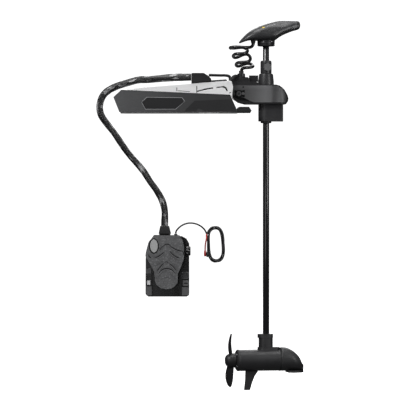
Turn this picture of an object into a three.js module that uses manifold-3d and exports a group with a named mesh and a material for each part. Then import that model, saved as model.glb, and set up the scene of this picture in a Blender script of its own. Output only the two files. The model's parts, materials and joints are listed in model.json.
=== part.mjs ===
// Bow-mount electric trolling motor with steering foot pedal.
// Millimetres, +Z up along the shaft, +X over the bow, origin at the centre of the deck face of the mount.
import * as THREE from 'three';
import { mergeVertices } from 'three/addons/utils/BufferGeometryUtils.js';
import Module from 'manifold-3d';

const wasm = await Module();
wasm.setup();

// ---------------------------------------------------------------- driving dimensions
const GAP = 0.3;                 // running gap between touching pieces
// mount
const PLATE_X0 = -282, PLATE_X1 = 226, PLATE_HALF = 98, PLATE_T = 6;
const RAIL_IN = 66, RAIL_OUT = 98, RAIL_WEB = 4;
const COVER_IN = 98.4, COVER_OUT = 104;
const PIVOT_X = -30, PIVOT_Z = 82;           // rear pivot of the lift arms
const TILT_X = 235, TILT_Z = 82;             // pivot between the lift arms and the steering housing
const ARM_IN = 45, ARM_OUT = 57, ARM_R = 20;
const PIN_R = 8, PIN_HOLE = 8.4;
// steering housing
const SHAFT_X = 354.5, SHAFT_R = 14, SHAFT_BORE = 10.5;
const HOUSE_HALF = 60, PANEL_T = 3;
const HOUSE_TOP = 122, HOUSE_BOTTOM = 38;
const SLEEVE_R = 20, SLEEVE_BORE = 14.4;
const GEAR_TEETH = 36, PINION_TEETH = 12, GEAR_MODULE = 2, GEAR_Z0 = 47, GEAR_Z1 = 57;
const PINION_X = SHAFT_X + (GEAR_TEETH + PINION_TEETH) * GEAR_MODULE / 2 + 0.5;
// shaft and lower unit
const YAW = 10 * Math.PI / 180;              // rest heading of the lower unit about the shaft
const SHAFT_TOP = 336, SHAFT_BOTTOM = -1029;
const MOTOR_Z = -1082, MOTOR_R = 47, MOTOR_WALL = 3.5;
const MOTOR_X0 = -128, MOTOR_X1 = 61;        // motor tube, along its own axis from the shaft line
const PROP_R = 117, HUB_R = 32, HUB_X0 = -180, HUB_X1 = -136;
// foot pedal
const SOLE_Y = -70, BASE_TOP_Y = -86, FOOT_AXIS_Y = -108, FOOT_AXIS_Z = -665;
const PLATE_Y0 = -124, PLATE_Y1 = -133, PAD_Y = -137;
const PEDAL_X = -81;
// cords
const SLEEVE_CORD_R = 16, LEAD_R = 4, CORD_Y = -86, LEAD_EXIT_Y = -78;

// ---------------------------------------------------------------- colours
const mat = (hex, roughness, metalness = 0) => new THREE.MeshStandardMaterial({ color: hex, roughness, metalness });
const M = {
  alu: mat(0xc9cbce, 0.3, 1), cover: mat(0x3c3d3f, 0.62), black: mat(0x141415, 0.5), housing: mat(0x5a5b5d, 0.5),
  satin: mat(0x1d1e20, 0.45), gloss: mat(0x0c0c0d, 0.2), steel: mat(0x8f9296, 0.35, 1), copper: mat(0x9a5a33, 0.4, 1),
  rubber: mat(0x1a1a1b, 0.85), pad: mat(0x4a4b4c, 0.9), button: mat(0xb9babb, 0.55), red: mat(0xb3201a, 0.45),
  brass: mat(0xa98a45, 0.35, 1), board: mat(0x1f5a36, 0.6), head: mat(0x2b2c2e, 0.45), magnet: mat(0x3a3a3e, 0.5),
  yellow: mat(0xd8b02a, 0.5), braid: mat(0x121213, 0.6),
};

// ---------------------------------------------------------------- geometry helpers
const toSolid = (g) => {
  let c = g.index ? g.clone() : g.clone();
  c.deleteAttribute('normal'); c.deleteAttribute('uv');
  c = mergeVertices(c, 1e-4);
  const idx = c.index.array, keep = [];
  for (let i = 0; i < idx.length; i += 3) {
    const [a, b, d] = [idx[i], idx[i + 1], idx[i + 2]];
    if (a !== b && b !== d && a !== d) keep.push(a, b, d);
  }
  return new wasm.Manifold(new wasm.Mesh({ numProp: 3, vertProperties: new Float32Array(c.attributes.position.array), triVerts: new Uint32Array(keep) }));
};
const toGeo = (s) => {
  const m = s.getMesh();
  const g = new THREE.BufferGeometry();
  g.setAttribute('position', new THREE.BufferAttribute(new Float32Array(m.vertProperties), 3));
  g.setIndex(new THREE.BufferAttribute(new Uint32Array(m.triVerts), 1));
  return g;
};
const S = (g) => (g.isBufferGeometry ? toSolid(g) : g);
const add = (...gs) => gs.map(S).reduce((a, b) => a.add(b));
const cut = (a, ...gs) => gs.map(S).reduce((x, y) => x.subtract(y), S(a));
const both = (...gs) => gs.map(S).reduce((a, b) => a.intersect(b));

const shape = (pts) => { const s = new THREE.Shape(); pts.forEach(([x, y], i) => (i ? s.lineTo(x, y) : s.moveTo(x, y))); s.closePath(); return s; };
const basis = (g, x, y, z) => g.applyMatrix4(new THREE.Matrix4().makeBasis(new THREE.Vector3(...x), new THREE.Vector3(...y), new THREE.Vector3(...z)));
// a profile in XY pulled along Z, in XZ pulled along Y, in YZ pulled along X
const prismZ = (pts, z0, z1) => new THREE.ExtrudeGeometry(shape(pts), { depth: z1 - z0, bevelEnabled: false, steps: 1 }).translate(0, 0, z0);
const prismY = (pts, y0, y1) => basis(new THREE.ExtrudeGeometry(shape(pts), { depth: y1 - y0, bevelEnabled: false, steps: 1 }), [1, 0, 0], [0, 0, 1], [0, -1, 0]).translate(0, y1, 0);
const prismX = (pts, x0, x1) => basis(new THREE.ExtrudeGeometry(shape(pts), { depth: x1 - x0, bevelEnabled: false, steps: 1 }), [0, 1, 0], [0, 0, 1], [1, 0, 0]).translate(x0, 0, 0);
const box = (x0, x1, y0, y1, z0, z1) => new THREE.BoxGeometry(x1 - x0, y1 - y0, z1 - z0).translate((x0 + x1) / 2, (y0 + y1) / 2, (z0 + z1) / 2);
const lathe = (pts, n = 28) => new THREE.LatheGeometry(pts.map(([r, h]) => new THREE.Vector2(r, h)), n);
// profiles are [radius, height] pairs along the named axis
const latheZ = (pts, n) => basis(lathe(pts, n), [1, 0, 0], [0, 0, 1], [0, -1, 0]);
const latheX = (pts, n) => basis(lathe(pts, n), [0, 1, 0], [1, 0, 0], [0, 0, -1]);
const latheY = (pts, n) => lathe(pts, n);
const disc = (r, a, b) => [[0, a], [r, a], [r, b], [0, b]];
const ring = (ri, ro, a, b) => [[ri, a], [ro, a], [ro, b], [ri, b], [ri, a]];
const cylZ = (r, x, y, z0, z1, n = 20) => latheZ(disc(r, z0, z1), n).translate(x, y, 0);
const cylY = (r, x, z, y0, y1, n = 20) => latheY(disc(r, y0, y1), n).translate(x, 0, z);
const cylX = (r, y, z, x0, x1, n = 20) => latheX(disc(r, x0, x1), n).translate(0, y, z);
const tube = (pts, r, sides, steps) => {
  const sec = [];
  for (let i = 0; i < sides; i++) { const a = 2 * Math.PI * i / sides; sec.push([r * Math.cos(a), r * Math.sin(a)]); }
  const curve = new THREE.CatmullRomCurve3(pts.map((p) => new THREE.Vector3(...p)), false, 'centripetal');
  return new THREE.ExtrudeGeometry(shape(sec), { steps, bevelEnabled: false, extrudePath: curve });
};
const hull = (pts) => {
  const p = [...pts].sort((a, b) => a[0] - b[0] || a[1] - b[1]);
  const cr = (o, a, b) => (a[0] - o[0]) * (b[1] - o[1]) - (a[1] - o[1]) * (b[0] - o[0]);
  const half = (q) => { const h = []; for (const x of q) { while (h.length > 1 && cr(h[h.length - 2], h[h.length - 1], x) <= 1e-6) h.pop(); h.push(x); } h.pop(); return h; };
  return [...half(p), ...half([...p].reverse())];
};
const circle = (cx, cy, r, n = 24, ry = r) => Array.from({ length: n }, (_, i) => [cx + r * Math.cos(2 * Math.PI * i / n), cy + ry * Math.sin(2 * Math.PI * i / n)]);
const rounded = (x0, x1, y0, y1, r, n = 4) => {
  const out = [];
  for (const [cx, cy, a0] of [[x1 - r, y1 - r, 0], [x0 + r, y1 - r, 1], [x0 + r, y0 + r, 2], [x1 - r, y0 + r, 3]])
    for (let i = 0; i <= n; i++) { const a = (a0 + i / n) * Math.PI / 2; out.push([cx + r * Math.cos(a), cy + r * Math.sin(a)]); }
  return out;
};
const gear = (teeth, m, z0, z1, phase) => {
  const rp = teeth * m / 2, ra = rp + 0.8 * m, rf = rp - 1.2 * m, out = [], p = 2 * Math.PI / teeth;
  for (let i = 0; i < teeth; i++) for (const [f, r] of [[-0.24, rf], [-0.10, ra], [0.10, ra], [0.24, rf]]) {
    const a = phase + p * (i + f); out.push([r * Math.cos(a), r * Math.sin(a)]);
  }
  return prismZ(out, z0, z1);
};
const mirrorY = (g) => toGeo(S(g).mirror([0, 1, 0]));

const object = new THREE.Group();
object.name = 'trolling_motor';
const put = (name, geometry, material, parent = object) => {
  const g = geometry.isBufferGeometry ? geometry : toGeo(geometry);
  const mesh = new THREE.Mesh(g, material);
  mesh.name = name;
  parent.add(mesh);
  return mesh;
};

// ================================================================ mount base
const boltXY = [[-250, 40], [-250, -40], [-90, 78], [-90, -78], [190, 40], [190, -40]];
put('base_plate', cut(
  prismZ([[PLATE_X0, -80], [PLATE_X0 + 18, -PLATE_HALF], [PLATE_X1, -PLATE_HALF], [PLATE_X1, PLATE_HALF], [PLATE_X0 + 18, PLATE_HALF], [PLATE_X0, 80]], 0, PLATE_T),
  ...boltXY.map(([x, y]) => cylZ(3.6, x, y, -1, PLATE_T + 1, 16)),
  prismZ(rounded(60, 150, -34, 34, 14), -1, PLATE_T + 1),
), M.alu);

const railSide = [[-262, PLATE_T + GAP], [-262, 96], [-200, 106], [181, 136.5], [202, 134.5], [209, 112], [206, 74], [200, PLATE_T + GAP]];
const railPocket = [[-259, PLATE_T + 5], [-259, 90], [-200, 100], [180, 130.5], [196, 128], [202, 110], [199, 76], [194, PLATE_T + 5]];
const railSlot1 = [[52, 88], [54, 93], [88, 103], [122, 108], [123, 103], [88, 97]];
const railSlot2 = [[136, 105], [138, 110], [168, 114], [180, 108], [187, 92], [182, 91], [174, 104], [164, 108]];
const railFar = cut(
  add(cut(prismY(railSide, RAIL_IN, RAIL_OUT), prismY(railPocket, RAIL_IN - 1, RAIL_OUT - RAIL_WEB)),
    cylY(18, PIVOT_X, PIVOT_Z, RAIL_IN, RAIL_OUT - 2)),
  cylY(PIN_HOLE, PIVOT_X, PIVOT_Z, RAIL_IN - 1, 90),
  prismY(railSlot1, 80, RAIL_OUT + 1), prismY(railSlot2, 80, RAIL_OUT + 1),
);
put('rail_far', railFar, M.alu);
put('rail_near', mirrorY(railFar), M.alu);

const coverSide = [[-311, 66], [-277, 97], [196, 76], [230.6, 0.8], [-285, 0.8]];
const coverFar = cut(prismY(coverSide, COVER_IN, COVER_OUT),
  prismZ([[58, COVER_OUT + 0.01], [232, COVER_OUT - 2.6], [234, COVER_OUT + 4], [58, COVER_OUT + 4]], -5, 110));
put('side_cover_far', coverFar, M.cover);
put('side_cover_near', mirrorY(coverFar), M.cover);

put('bow_rest', prismY([[227, 2], [227, 20], [238, 24.5], [279, 24.5], [290, 7], [286, 2]], -92, 92), M.black);
put('rear_pivot_pin', latheY(disc(PIN_R, -88, 88), 24).translate(PIVOT_X, 0, PIVOT_Z), M.steel);

// torsion spring around the cross tube, one leg down to the base plate
const springPts = [];
for (let i = 0; i <= 40; i++) { const a = 2 * Math.PI * i / 10; springPts.push([PIVOT_X + 22 * Math.cos(a), -28 + 56 * i / 40, PIVOT_Z + 22 * Math.sin(a)]); }
springPts.push([PIVOT_X + 22.5, 28.5, PIVOT_Z - 20], [PIVOT_X + 22.5, 29, PIVOT_Z - 45], [PIVOT_X + 22.5, 29, PLATE_T + 2.4]);
put('lift_assist_spring', tube(springPts, 2.2, 6, 56), M.steel);

// cable clamp, tray and conduit on the near rail
const railTopZ = (x) => 106 + (x + 200) * 30.5 / 381;
put('cable_clamp', add(
  prismY([[28, railTopZ(28) + 0.4], [28, railTopZ(28) + 8], [108, railTopZ(108) + 8], [180, railTopZ(180) + 7], [184, railTopZ(180) + 0.7]], -97, -73),
  prismY([[28, railTopZ(28) + 4], [28, 168], [33, 171], [82, 171], [87, 167], [100, 160], [114, 146], [114, railTopZ(114) + 4]], -103, -69)), M.black);
put('cable_conduit', tube([[103.5, CORD_Y, 162], [112, CORD_Y, 162], [150, CORD_Y, 161], [178, CORD_Y, 160.5], [192, CORD_Y, 156.5], [196, CORD_Y, 148], [196, CORD_Y, 137.4]], 4.6, 8, 24), M.black);

// release lever on the base plate, between the arms
put('release_lever', add(
  prismY([[150, 8], [150, 30], [158, 34], [190, 30], [204, 40], [208, 37], [196, 20], [166, 16], [162, 8]], -16, 16),
), M.black);

// ================================================================ lift arms
const armSide = hull([...circle(PIVOT_X, PIVOT_Z, 21, 20), ...circle(TILT_X, TILT_Z, ARM_R, 20)]);
const armFar = cut(prismY(armSide, ARM_IN, ARM_OUT),
  cylY(PIN_HOLE, PIVOT_X, PIVOT_Z, 30, 70), cylY(PIN_HOLE, TILT_X, TILT_Z, 30, 70),
  prismY(rounded(PIVOT_X + 40, TILT_X - 40, PIVOT_Z - 11, PIVOT_Z + 11, 8), ARM_IN - 1, ARM_OUT - 4));
put('lift_arm', add(armFar, S(armFar).mirror([0, 1, 0]),
  latheY(ring(PIN_HOLE, 14, -ARM_IN - 1, ARM_IN + 1), 24).translate(PIVOT_X, 0, PIVOT_Z)), M.alu);

// ================================================================ steering housing
const houseSide = [[209, 62], [207, 72], [207, HOUSE_TOP], [398, HOUSE_TOP], [412, 118], [424, 110], [434, 100], [443, 86], [449, 74], [452.6, 62], [450, 50], [442, 39], [436, HOUSE_BOTTOM], [262, HOUSE_BOTTOM], [232, 46]];
const housePlan = [[200, -70], [400, -70], [430, -52], [446, -34], [453, -12], [453, 12], [446, 34], [430, 52], [400, 70], [200, 70]];
const houseCavity = [[276, 44], [276, 115], [396, 115], [410, 111], [422, 103], [433, 90], [441, 76], [445, 62], [441, 48], [436, 44]];
const cavityPlan = [[270, -56], [394, -56], [424, -44], [438, -28], [446, -8], [446, 8], [438, 28], [424, 44], [394, 56], [270, 56]];
put('steering_housing', cut(
  both(prismY(houseSide, -HOUSE_HALF, HOUSE_HALF), prismZ(housePlan, 20, 140)),
  box(190, 264, -58.2, 58.2, 20, 105),
  both(prismY(houseCavity, -57, 57), prismZ(cavityPlan, 20, 140)),
  cylZ(28, SHAFT_X, 0, 20, 140, 32),
  cylZ(23.5, PINION_X, 0, 20, 60, 24),
  cylY(PIN_HOLE, TILT_X, TILT_Z, -70, 70),
), M.black);
const panelSide = [[213, 66], [211, 74], [211, 118], [392, 118], [408, 114], [419, 106], [429, 96], [437, 84], [443, 72], [445.6, 62], [443.5, 52], [436, 44], [300, 44], [268, 50], [236, 54]];
// the side panels follow the housing's outline in plan and wrap on to its nose
const planBand = (d) => [[200, HOUSE_HALF + d], [416.7 + 0.278 * d, HOUSE_HALF + d], [430 + 0.646 * d, 52 + 0.778 * d], [446 + 0.889 * d, 34 + 0.506 * d], [453 + d, 12 + 0.155 * d], [453 + d, 8]];
const panelBand = [...planBand(GAP + PANEL_T), ...planBand(GAP + 0.05).reverse()];
const panelFar = cut(both(prismY(panelSide, 10, HOUSE_HALF + 10), prismZ(panelBand, 20, 140)),
  cylY(15.5, TILT_X, TILT_Z, 50, 70));
put('housing_panel_far', panelFar, M.housing);
put('housing_panel_near', mirrorY(panelFar), M.housing);
put('housing_top_cover', cut(
  prismY([[203, HOUSE_TOP + GAP + 0.1], [200, 128], [204, 136], [300, 136], [322, 131], [324, HOUSE_TOP + GAP + 0.1]], -54, 54),
  cylZ(36.5, SHAFT_X, 0, 100, 200, 40)), M.black);
put('tilt_pin', latheY([[0, -66.5], [12, -66.5], [12, -60.6], [PIN_R, -60.6], [PIN_R, 60.6], [12, 60.6], [12, 66.5], [0, 66.5]], 24).translate(TILT_X, 0, TILT_Z), M.steel);

const bellyPlan = hull([...circle(SHAFT_X, 0, 34, 28), ...rounded(362, 429, -32, 32, 6)]);
const bellyInner = hull([...circle(SHAFT_X, 0, 30.5, 28), ...rounded(362, 425.5, -28.5, 28.5, 4)]);
put('gearbox_cover', cut(
  prismZ(bellyPlan, -37, HOUSE_BOTTOM - GAP),
  prismZ(bellyInner, -33, 60),
  cylZ(20.6, SHAFT_X, 0, -50, 0, 32)), M.satin);
put('sleeve_bushing', latheZ([[SLEEVE_R + 0.4, 104], [34, 104], [34, 114.6], [27.6, 114.6], [27.6, 121], [SLEEVE_R + 0.4, 121], [SLEEVE_R + 0.4, 104]], 32).translate(SHAFT_X, 0, 0), M.button);
put('steering_motor', latheZ([[0, -31], [21, -31], [21, 36], [8, 38], [8, 42], [3, 42], [3, 45.6], [0, 45.6]], 24).translate(PINION_X, 0, 0), M.steel);
put('cord_gland', add(
  prismY([[206, 136.4], [206, 150], [214, 156], [274, 156], [282, 148], [282, 136.4]], -30, 30),
  cylZ(17, 246, -8, 150, 172, 24),
  cylZ(10.5, 246, -8, 170, 184, 20),
  cut(box(280, 322, -13, 13, 136.4, 164), cylZ(36.5, SHAFT_X, 0, 100, 200, 40))), M.black);
// curly cord: one open tube of the coil's outer diameter, leaning back towards the head
const coilTube = cut(
  tube([[267, -8, 180], [262, -8, 200], [235.5, -8, 282], [230, -8, 300]], 44.5, 18, 5),
  tube([[267, -8, 178], [262, -8, 200], [235.5, -8, 282], [229.6, -8, 302]], 31, 14, 5),
  box(100, 400, -100, 100, 100, 188), box(100, 400, -100, 100, 297, 400));
put('coil_cord', coilTube, M.black);

// ================================================================ steering drive
put('steer_pinion', cut(gear(PINION_TEETH, GEAR_MODULE, GEAR_Z0, GEAR_Z1, Math.PI / PINION_TEETH + Math.PI), cylZ(3.1, 0, 0, 40, 70, 12)).translate([PINION_X, 0, 0]), M.brass);
put('steer_gear', cut(gear(GEAR_TEETH, GEAR_MODULE, GEAR_Z0, GEAR_Z1, 0), cylZ(SLEEVE_R + GAP, 0, 0, 40, 70, 32)).translate([SHAFT_X, 0, 0]), M.brass);
put('drive_sleeve', latheZ([[SLEEVE_BORE, -44.5], [23.5, -44.5], [23.5, -37.4], [SLEEVE_R, -37.4], [SLEEVE_R, 122.4], [34.5, 122.4], [34, 140], [31, 168], [29, 171.6], [SLEEVE_BORE, 171.6], [SLEEVE_BORE, -44.5]], 28).translate(SHAFT_X, 0, 0), M.satin);
const yawed = new THREE.Group();
yawed.position.set(SHAFT_X, 0, 0);
yawed.rotation.z = YAW;
object.add(yawed);
put('depth_collar', cut(add(
  latheZ([[SLEEVE_BORE, 172], [24, 172], [24.5, 178], [24.5, 222], [22, 228.5], [SLEEVE_BORE, 228.5], [SLEEVE_BORE, 172]], 32),
  both(box(-13, 13, -27.5, -10, 184, 214), latheY(disc(15, -27.5, -10), 20).translate(0, 0, 199))),
  cylZ(SLEEVE_BORE, 0, 0, 150, 250, 32), cylY(5.4, 0, 199, -40, -15.4, 16)), M.satin, yawed);
const knobLobes = Array.from({ length: 48 }, (_, i) => { const a = 2 * Math.PI * i / 48, r = 16.4 + 0.9 * Math.cos(8 * a); return [r * Math.cos(a), 199 + r * Math.sin(a)]; });
put('depth_knob', add(prismY(knobLobes, -40, -28), cylY(5, 0, 199, -29, -16, 16)), M.housing, yawed);

// ================================================================ shaft and control head
put('shaft_tube', latheZ(ring(SHAFT_BORE, SHAFT_R, SHAFT_BOTTOM, SHAFT_TOP), 32), M.gloss, yawed);
const hx = (x) => (x - SHAFT_X) / Math.cos(YAW);
const headSide = [[236, 306], [240, 312], [256, 333], [272, 350], [296, 366], [330, 381], [370, 394], [405, 402], [430, 404.5], [492, 404.5], [499, 401], [501.4, 394], [500, 372], [495, 366], [470, 358.5], [448, 350], [424, 339], [406, 328], [394, 318], [384, 315], [310, 315], [298, 313.5], [284, 318], [270, 315], [252, 309], [240, 304.5]].map(([x, z]) => [hx(x), z]);
const headPlan = [[hx(232), -7], [hx(240), -16], [hx(262), -32], [hx(300), -47], [hx(350), -52], [hx(400), -48], [hx(450), -36], [hx(490), -25], [hx(504), -21]];
const headPlanFull = [...headPlan, ...[...headPlan].reverse().map(([x, y]) => [x, -y])];
const headRoof = [[-60, 290], [-60, 334], [-50, 356], [-38, 376], [-22, 396], [-12, 408], [12, 408], [22, 396], [38, 376], [50, 356], [60, 334], [60, 290]];
const headOuter = both(prismY(headSide, -60, 60), prismZ(headPlanFull, 290, 420), prismX(headRoof, hx(220), hx(510)));
const headInner = both(
  prismY([[262, 326], [276, 343], [298, 359], [332, 374], [371, 387], [405, 395], [430, 398], [482, 398], [482, 368], [466, 363], [444, 355], [420, 344], [402, 333], [390, 322], [300, 321], [284, 324]].map(([x, z]) => [hx(x), z]), -60, 60),
  prismZ([[hx(256), -20], [hx(300), -42], [hx(350), -47], [hx(400), -43], [hx(450), -31], [hx(483), -22], [hx(483), 22], [hx(450), 31], [hx(400), 43], [hx(350), 47], [hx(300), 42], [hx(256), 20]], 290, 420),
  prismX([[-54, 300], [-54, 330], [-44, 350], [-32, 370], [-17, 388], [17, 388], [32, 370], [44, 350], [54, 330], [54, 300]], hx(220), hx(510)));
// split line of the head rises towards the tail
const below = prismY([[hx(200), 200], [hx(200), 318], [hx(300), 330], [hx(420), 352], [hx(520), 386], [hx(520), 200]], -100, 100);
const above = prismY([[hx(200), 318.4], [hx(200), 460], [hx(520), 460], [hx(520), 386.4], [hx(420), 352.4], [hx(300), 330.4]], -100, 100);
const tail = box(hx(486), hx(540), -100, 100, 300, 460);
const notTail = box(-400, hx(486) - GAP, -100, 100, 200, 500);
put('head_base', cut(add(both(headOuter, below, notTail), latheZ(disc(39, 292, 317), 32),
  latheZ([[0, 299], [8, 299], [10, 306], [10, 322], [0, 322]], 18).translate(hx(298), 0, 0)), headInner, cylZ(SHAFT_R + 0.3, 0, 0, 250, 500, 32)), M.head, yawed);
put('head_cover', cut(both(headOuter, above, notTail), headInner, latheZ(disc(30, 300, 345), 24)), M.head, yawed);
put('head_end_cap', both(headOuter, tail), M.black, yawed);
put('head_board', cut(box(-70, 56, -26, 26, 346, 349), latheZ(disc(16, 300, 400), 20)), M.board, yawed);

// ================================================================ lower unit
const X = (x) => (x - SHAFT_X) / Math.cos(YAW);
const motorCyl = (r, a, b, n = 40) => latheX(disc(r, a, b), n).translate(0, 0, MOTOR_Z);
const motorRing = (ri, ro, a, b, n = 40) => latheX(ring(ri, ro, a, b), n).translate(0, 0, MOTOR_Z);
put('tower', cut(
  add(prismZ(hull([...circle(-8, 0, 25, 20), ...circle(8, 0, 22, 20)]), -1052, -967.5),
    prismZ(hull([...circle(-10, 0, 28, 20, 26), ...circle(9, 0, 22, 20, 24)]), -984, -967.5),
    both(prismZ(hull([...circle(-12, 0, 26, 20), ...circle(38, 0, 22.6, 20)]), -1052, -1024.5), prismY([[-60, -1060], [-60, -1034], [-34, -1024.5], [60.6, -1025.5], [60.6, -1060]], -40, 40))),
  motorCyl(MOTOR_R + GAP, -200, 200, 48),
  cylZ(SHAFT_R + 0.3, 0, 0, -1032, -900, 32)), M.satin, yawed);
put('motor_tube', motorRing(MOTOR_R - MOTOR_WALL, MOTOR_R, MOTOR_X0, MOTOR_X1, 44), M.satin, yawed);
put('rear_end_cap', latheX([[9.4, -135.5], [38, -135.5], [45, -131], [MOTOR_R, -128.3], [MOTOR_R - MOTOR_WALL - GAP, -128.3], [MOTOR_R - MOTOR_WALL - GAP, -120], [15, -120], [15, -112], [11.4, -112], [11.4, -128.6], [9.4, -128.6], [9.4, -135.5]], 32).translate(0, 0, MOTOR_Z), M.satin, yawed);
put('rear_bearing', motorRing(5.5, 11.1, -128, -119, 24), M.steel, yawed);
put('shaft_seal', motorRing(5.5, 9.1, -135, -129.5, 24), M.rubber, yawed);
put('front_bearing_plate', motorRing(5.5, MOTOR_R - MOTOR_WALL - GAP, 44, 51, 36), M.alu, yawed);
put('field_magnets', motorRing(33, MOTOR_R - MOTOR_WALL - GAP, -84, 8, 28), M.magnet, yawed);
put('brush_holder', motorRing(16, MOTOR_R - MOTOR_WALL - GAP, 18, 30, 32), M.copper, yawed);
const noseSide = [[X(414) + 1, -1129], [X(414) + 1, -1030], [X(414) + 4, -1026], [X(437), -1026], [X(461), -1035.5], [X(479), -1046.5], [X(495), -1062], [X(505), -1080], [X(512), -1100], [X(517.5), -1120], [X(519), -1128], [X(519), -1134], [X(450), -1136], [X(446), -1129]];
const nosePlan = [[58, -56], [X(470), -56], [X(492), -48], [X(508), -34], [X(517), -16], [X(519), 0], [X(517), 16], [X(508), 34], [X(492), 48], [X(470), 56], [58, 56]];
const noseRound = circle(0, MOTOR_Z - 1, 50, 44, 57);
put('nose_cone', cut(both(prismY(noseSide, -60, 60), prismZ(nosePlan, -1200, -1000), add(prismX(noseRound, 0, 200), prismX([[-44, -1137], [44, -1137], [46, -1126], [-46, -1126]], X(446), 200))),
  both(motorCyl(43, 50, 118, 36))), M.satin, yawed);
put('skeg', cut(prismY([[X(263.5), -1120], [X(262.5), -1168], [X(258), -1206], [X(258.5), -1212.5], [X(284), -1212.5], [X(293), -1180], [X(304), -1152], [X(318), -1132], [X(318), -1120]], -4.5, 4.5), motorCyl(MOTOR_R + GAP, -200, 200, 48)), M.satin, yawed);

// rotating parts
put('armature', cut(
  latheX([[0, -178], [5, -178], [5, -80], [31, -80], [31, 4], [5, 4], [5, 12], [15, 12], [15, 34], [5, 34], [5, 50], [0, 50]], 22),
  cylZ(2.4, -150, 0, -20, 20, 12)).translate([0, 0, MOTOR_Z]), M.copper, yawed);
const blade = (sign) => {
  const g = new THREE.BoxGeometry(1, 1, 1, 2, 6, 7);
  const p = g.attributes.position, v = new THREE.Vector3();
  for (let i = 0; i < p.count; i++) {
    v.fromBufferAttribute(p, i);
    const t = v.z + 0.5;                                   // 0 at the hub, 1 at the tip
    const r = 22 + (PROP_R - 22) * t;
    const chord = (t < 0.55 ? 40 + 26 * Math.sin(Math.PI * t / 1.1) : 66 * Math.sqrt(Math.max(0.06, 1 - ((t - 0.55) / 0.47) ** 2)));
    const c = v.y * chord - 12 * t * t;                    // swept back
    const thick = (5.2 - 2.2 * t) * (1 - 0.75 * (2 * v.y) ** 2) + 0.8;
    const pitch = (27 - 11 * t) * Math.PI / 180;
    const camber = 4 * (1 - (2 * v.y) ** 2);
    const n = v.x * thick + camber;
    const x = n * Math.cos(pitch) + c * Math.sin(pitch), y = -n * Math.sin(pitch) + c * Math.cos(pitch);
    const wrap = Math.sqrt(Math.max(r * r - y * y * (1 - t) , 100));
    p.setXYZ(i, x, sign * y, sign * wrap);
  }
  g.computeVertexNormals();
  return g;
};
put('propeller', cut(
  add(latheX([[0, -181], [12, -181], [22, -176], [28, -167], [31, -156], [HUB_R, -148], [HUB_R, HUB_X1], [0, HUB_X1]], 36),
    blade(1).translate(-156, 0, 0), blade(-1).translate(-156, 0, 0)),
  cylX(5.3, 0, 0, -200, -100, 20), cylX(10.5, 0, 0, -190, -170, 20), cylZ(2.9, -150, 0, -18, 18, 12),
).translate([0, 0, MOTOR_Z]), M.satin, yawed);
put('drive_pin', cylZ(2.1, -150, 0, -17, 17, 12).translate(0, 0, MOTOR_Z), M.steel, yawed);
put('prop_nut', cut(prismX(circle(0, 0, 9.4, 6), -180, -170.4), cylX(5.3, 0, 0, -200, -100, 20)).translate([0, 0, MOTOR_Z]), M.steel, yawed);

// ================================================================ foot pedal
const pedalOutline = [[-171, -640], [-171, -790], [-160, -801], [8, -801], [18.6, -792], [18.6, -570], [6, -548], [-14, -538], [-134, -538], [-156, -560], [-168, -600]];
const inset = (x0, x1, z0, z1) => box(x0, x1, SOLE_Y - 16 + 3, 0, z0, z1);
const lug = (x0, x1) => add(box(x0, x1, FOOT_AXIS_Y, BASE_TOP_Y + 1, FOOT_AXIS_Z - 9, FOOT_AXIS_Z + 9), cylX(9, FOOT_AXIS_Y, FOOT_AXIS_Z, x0, x1, 20));
const yp = (y) => y - 24;                    // pedal details are set out from a sole at -46
put('pedal_base', cut(
  add(prismY(pedalOutline, BASE_TOP_Y, SOLE_Y - 3),
    prismY([[3, -572], [12, -560], [18.6, -572], [18.6, -792], [14, -797], [-20, -797], [-20, -692], [3, -684]], yp(-84), yp(-60)),
    prismY([[-171, -700], [-144, -700], [-144, -797], [-164, -797], [-171, -790]], yp(-82), yp(-60)),
    box(0.6, 4.2, yp(-96), yp(-60), -612, -592),
    latheZ([[0, -538.7], [8, -538.7], [8, -534], [6.5, -528], [0, -528]], 16).translate(-40, LEAD_EXIT_Y, 0),
    lug(-127, -115), lug(-49, -37)),
  prismY([[-165, -642], [-165, -786], [-157, -795], [5, -795], [12, -788], [12, -572], [2, -554], [-16, -544], [-28, -544], [-28, -550], [-52, -550], [-52, -544], [-132, -544], [-151, -564], [-162, -602]], SOLE_Y - 13, 0),
  box(4.6, 30, yp(-120), yp(-63.5), -626, -578),
  cylX(5.3, FOOT_AXIS_Y, FOOT_AXIS_Z, -200, 0, 16),
  cylX(3.4, yp(-88), -602, -2, 10, 16),
  box(-12, 12, yp(-100), yp(-79.5), -719, -696),
  box(-165, -149, yp(-100), yp(-78), -752, -711)), M.gloss);
put('pedal_sole_plate', prismY([[-170, -642], [-170, -789], [-159, -800], [7, -800], [17.6, -791], [17.6, -571], [5, -549], [-14, -539], [-133, -539], [-155, -561], [-167, -600]], SOLE_Y - 2.6, SOLE_Y), M.rubber);
put('foot_pivot_pin', cylX(4.9, FOOT_AXIS_Y, FOOT_AXIS_Z, -126, -38, 20), M.steel);
put('pedal_boot', add(
  prismY([[-107.5, -494], [-114.5, -527.6], [-60.5, -527.6], [-68.5, -494]], -103, -69),
  box(-112, -63, -84.5, -72, -537.6, -527)), M.rubber);

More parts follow.
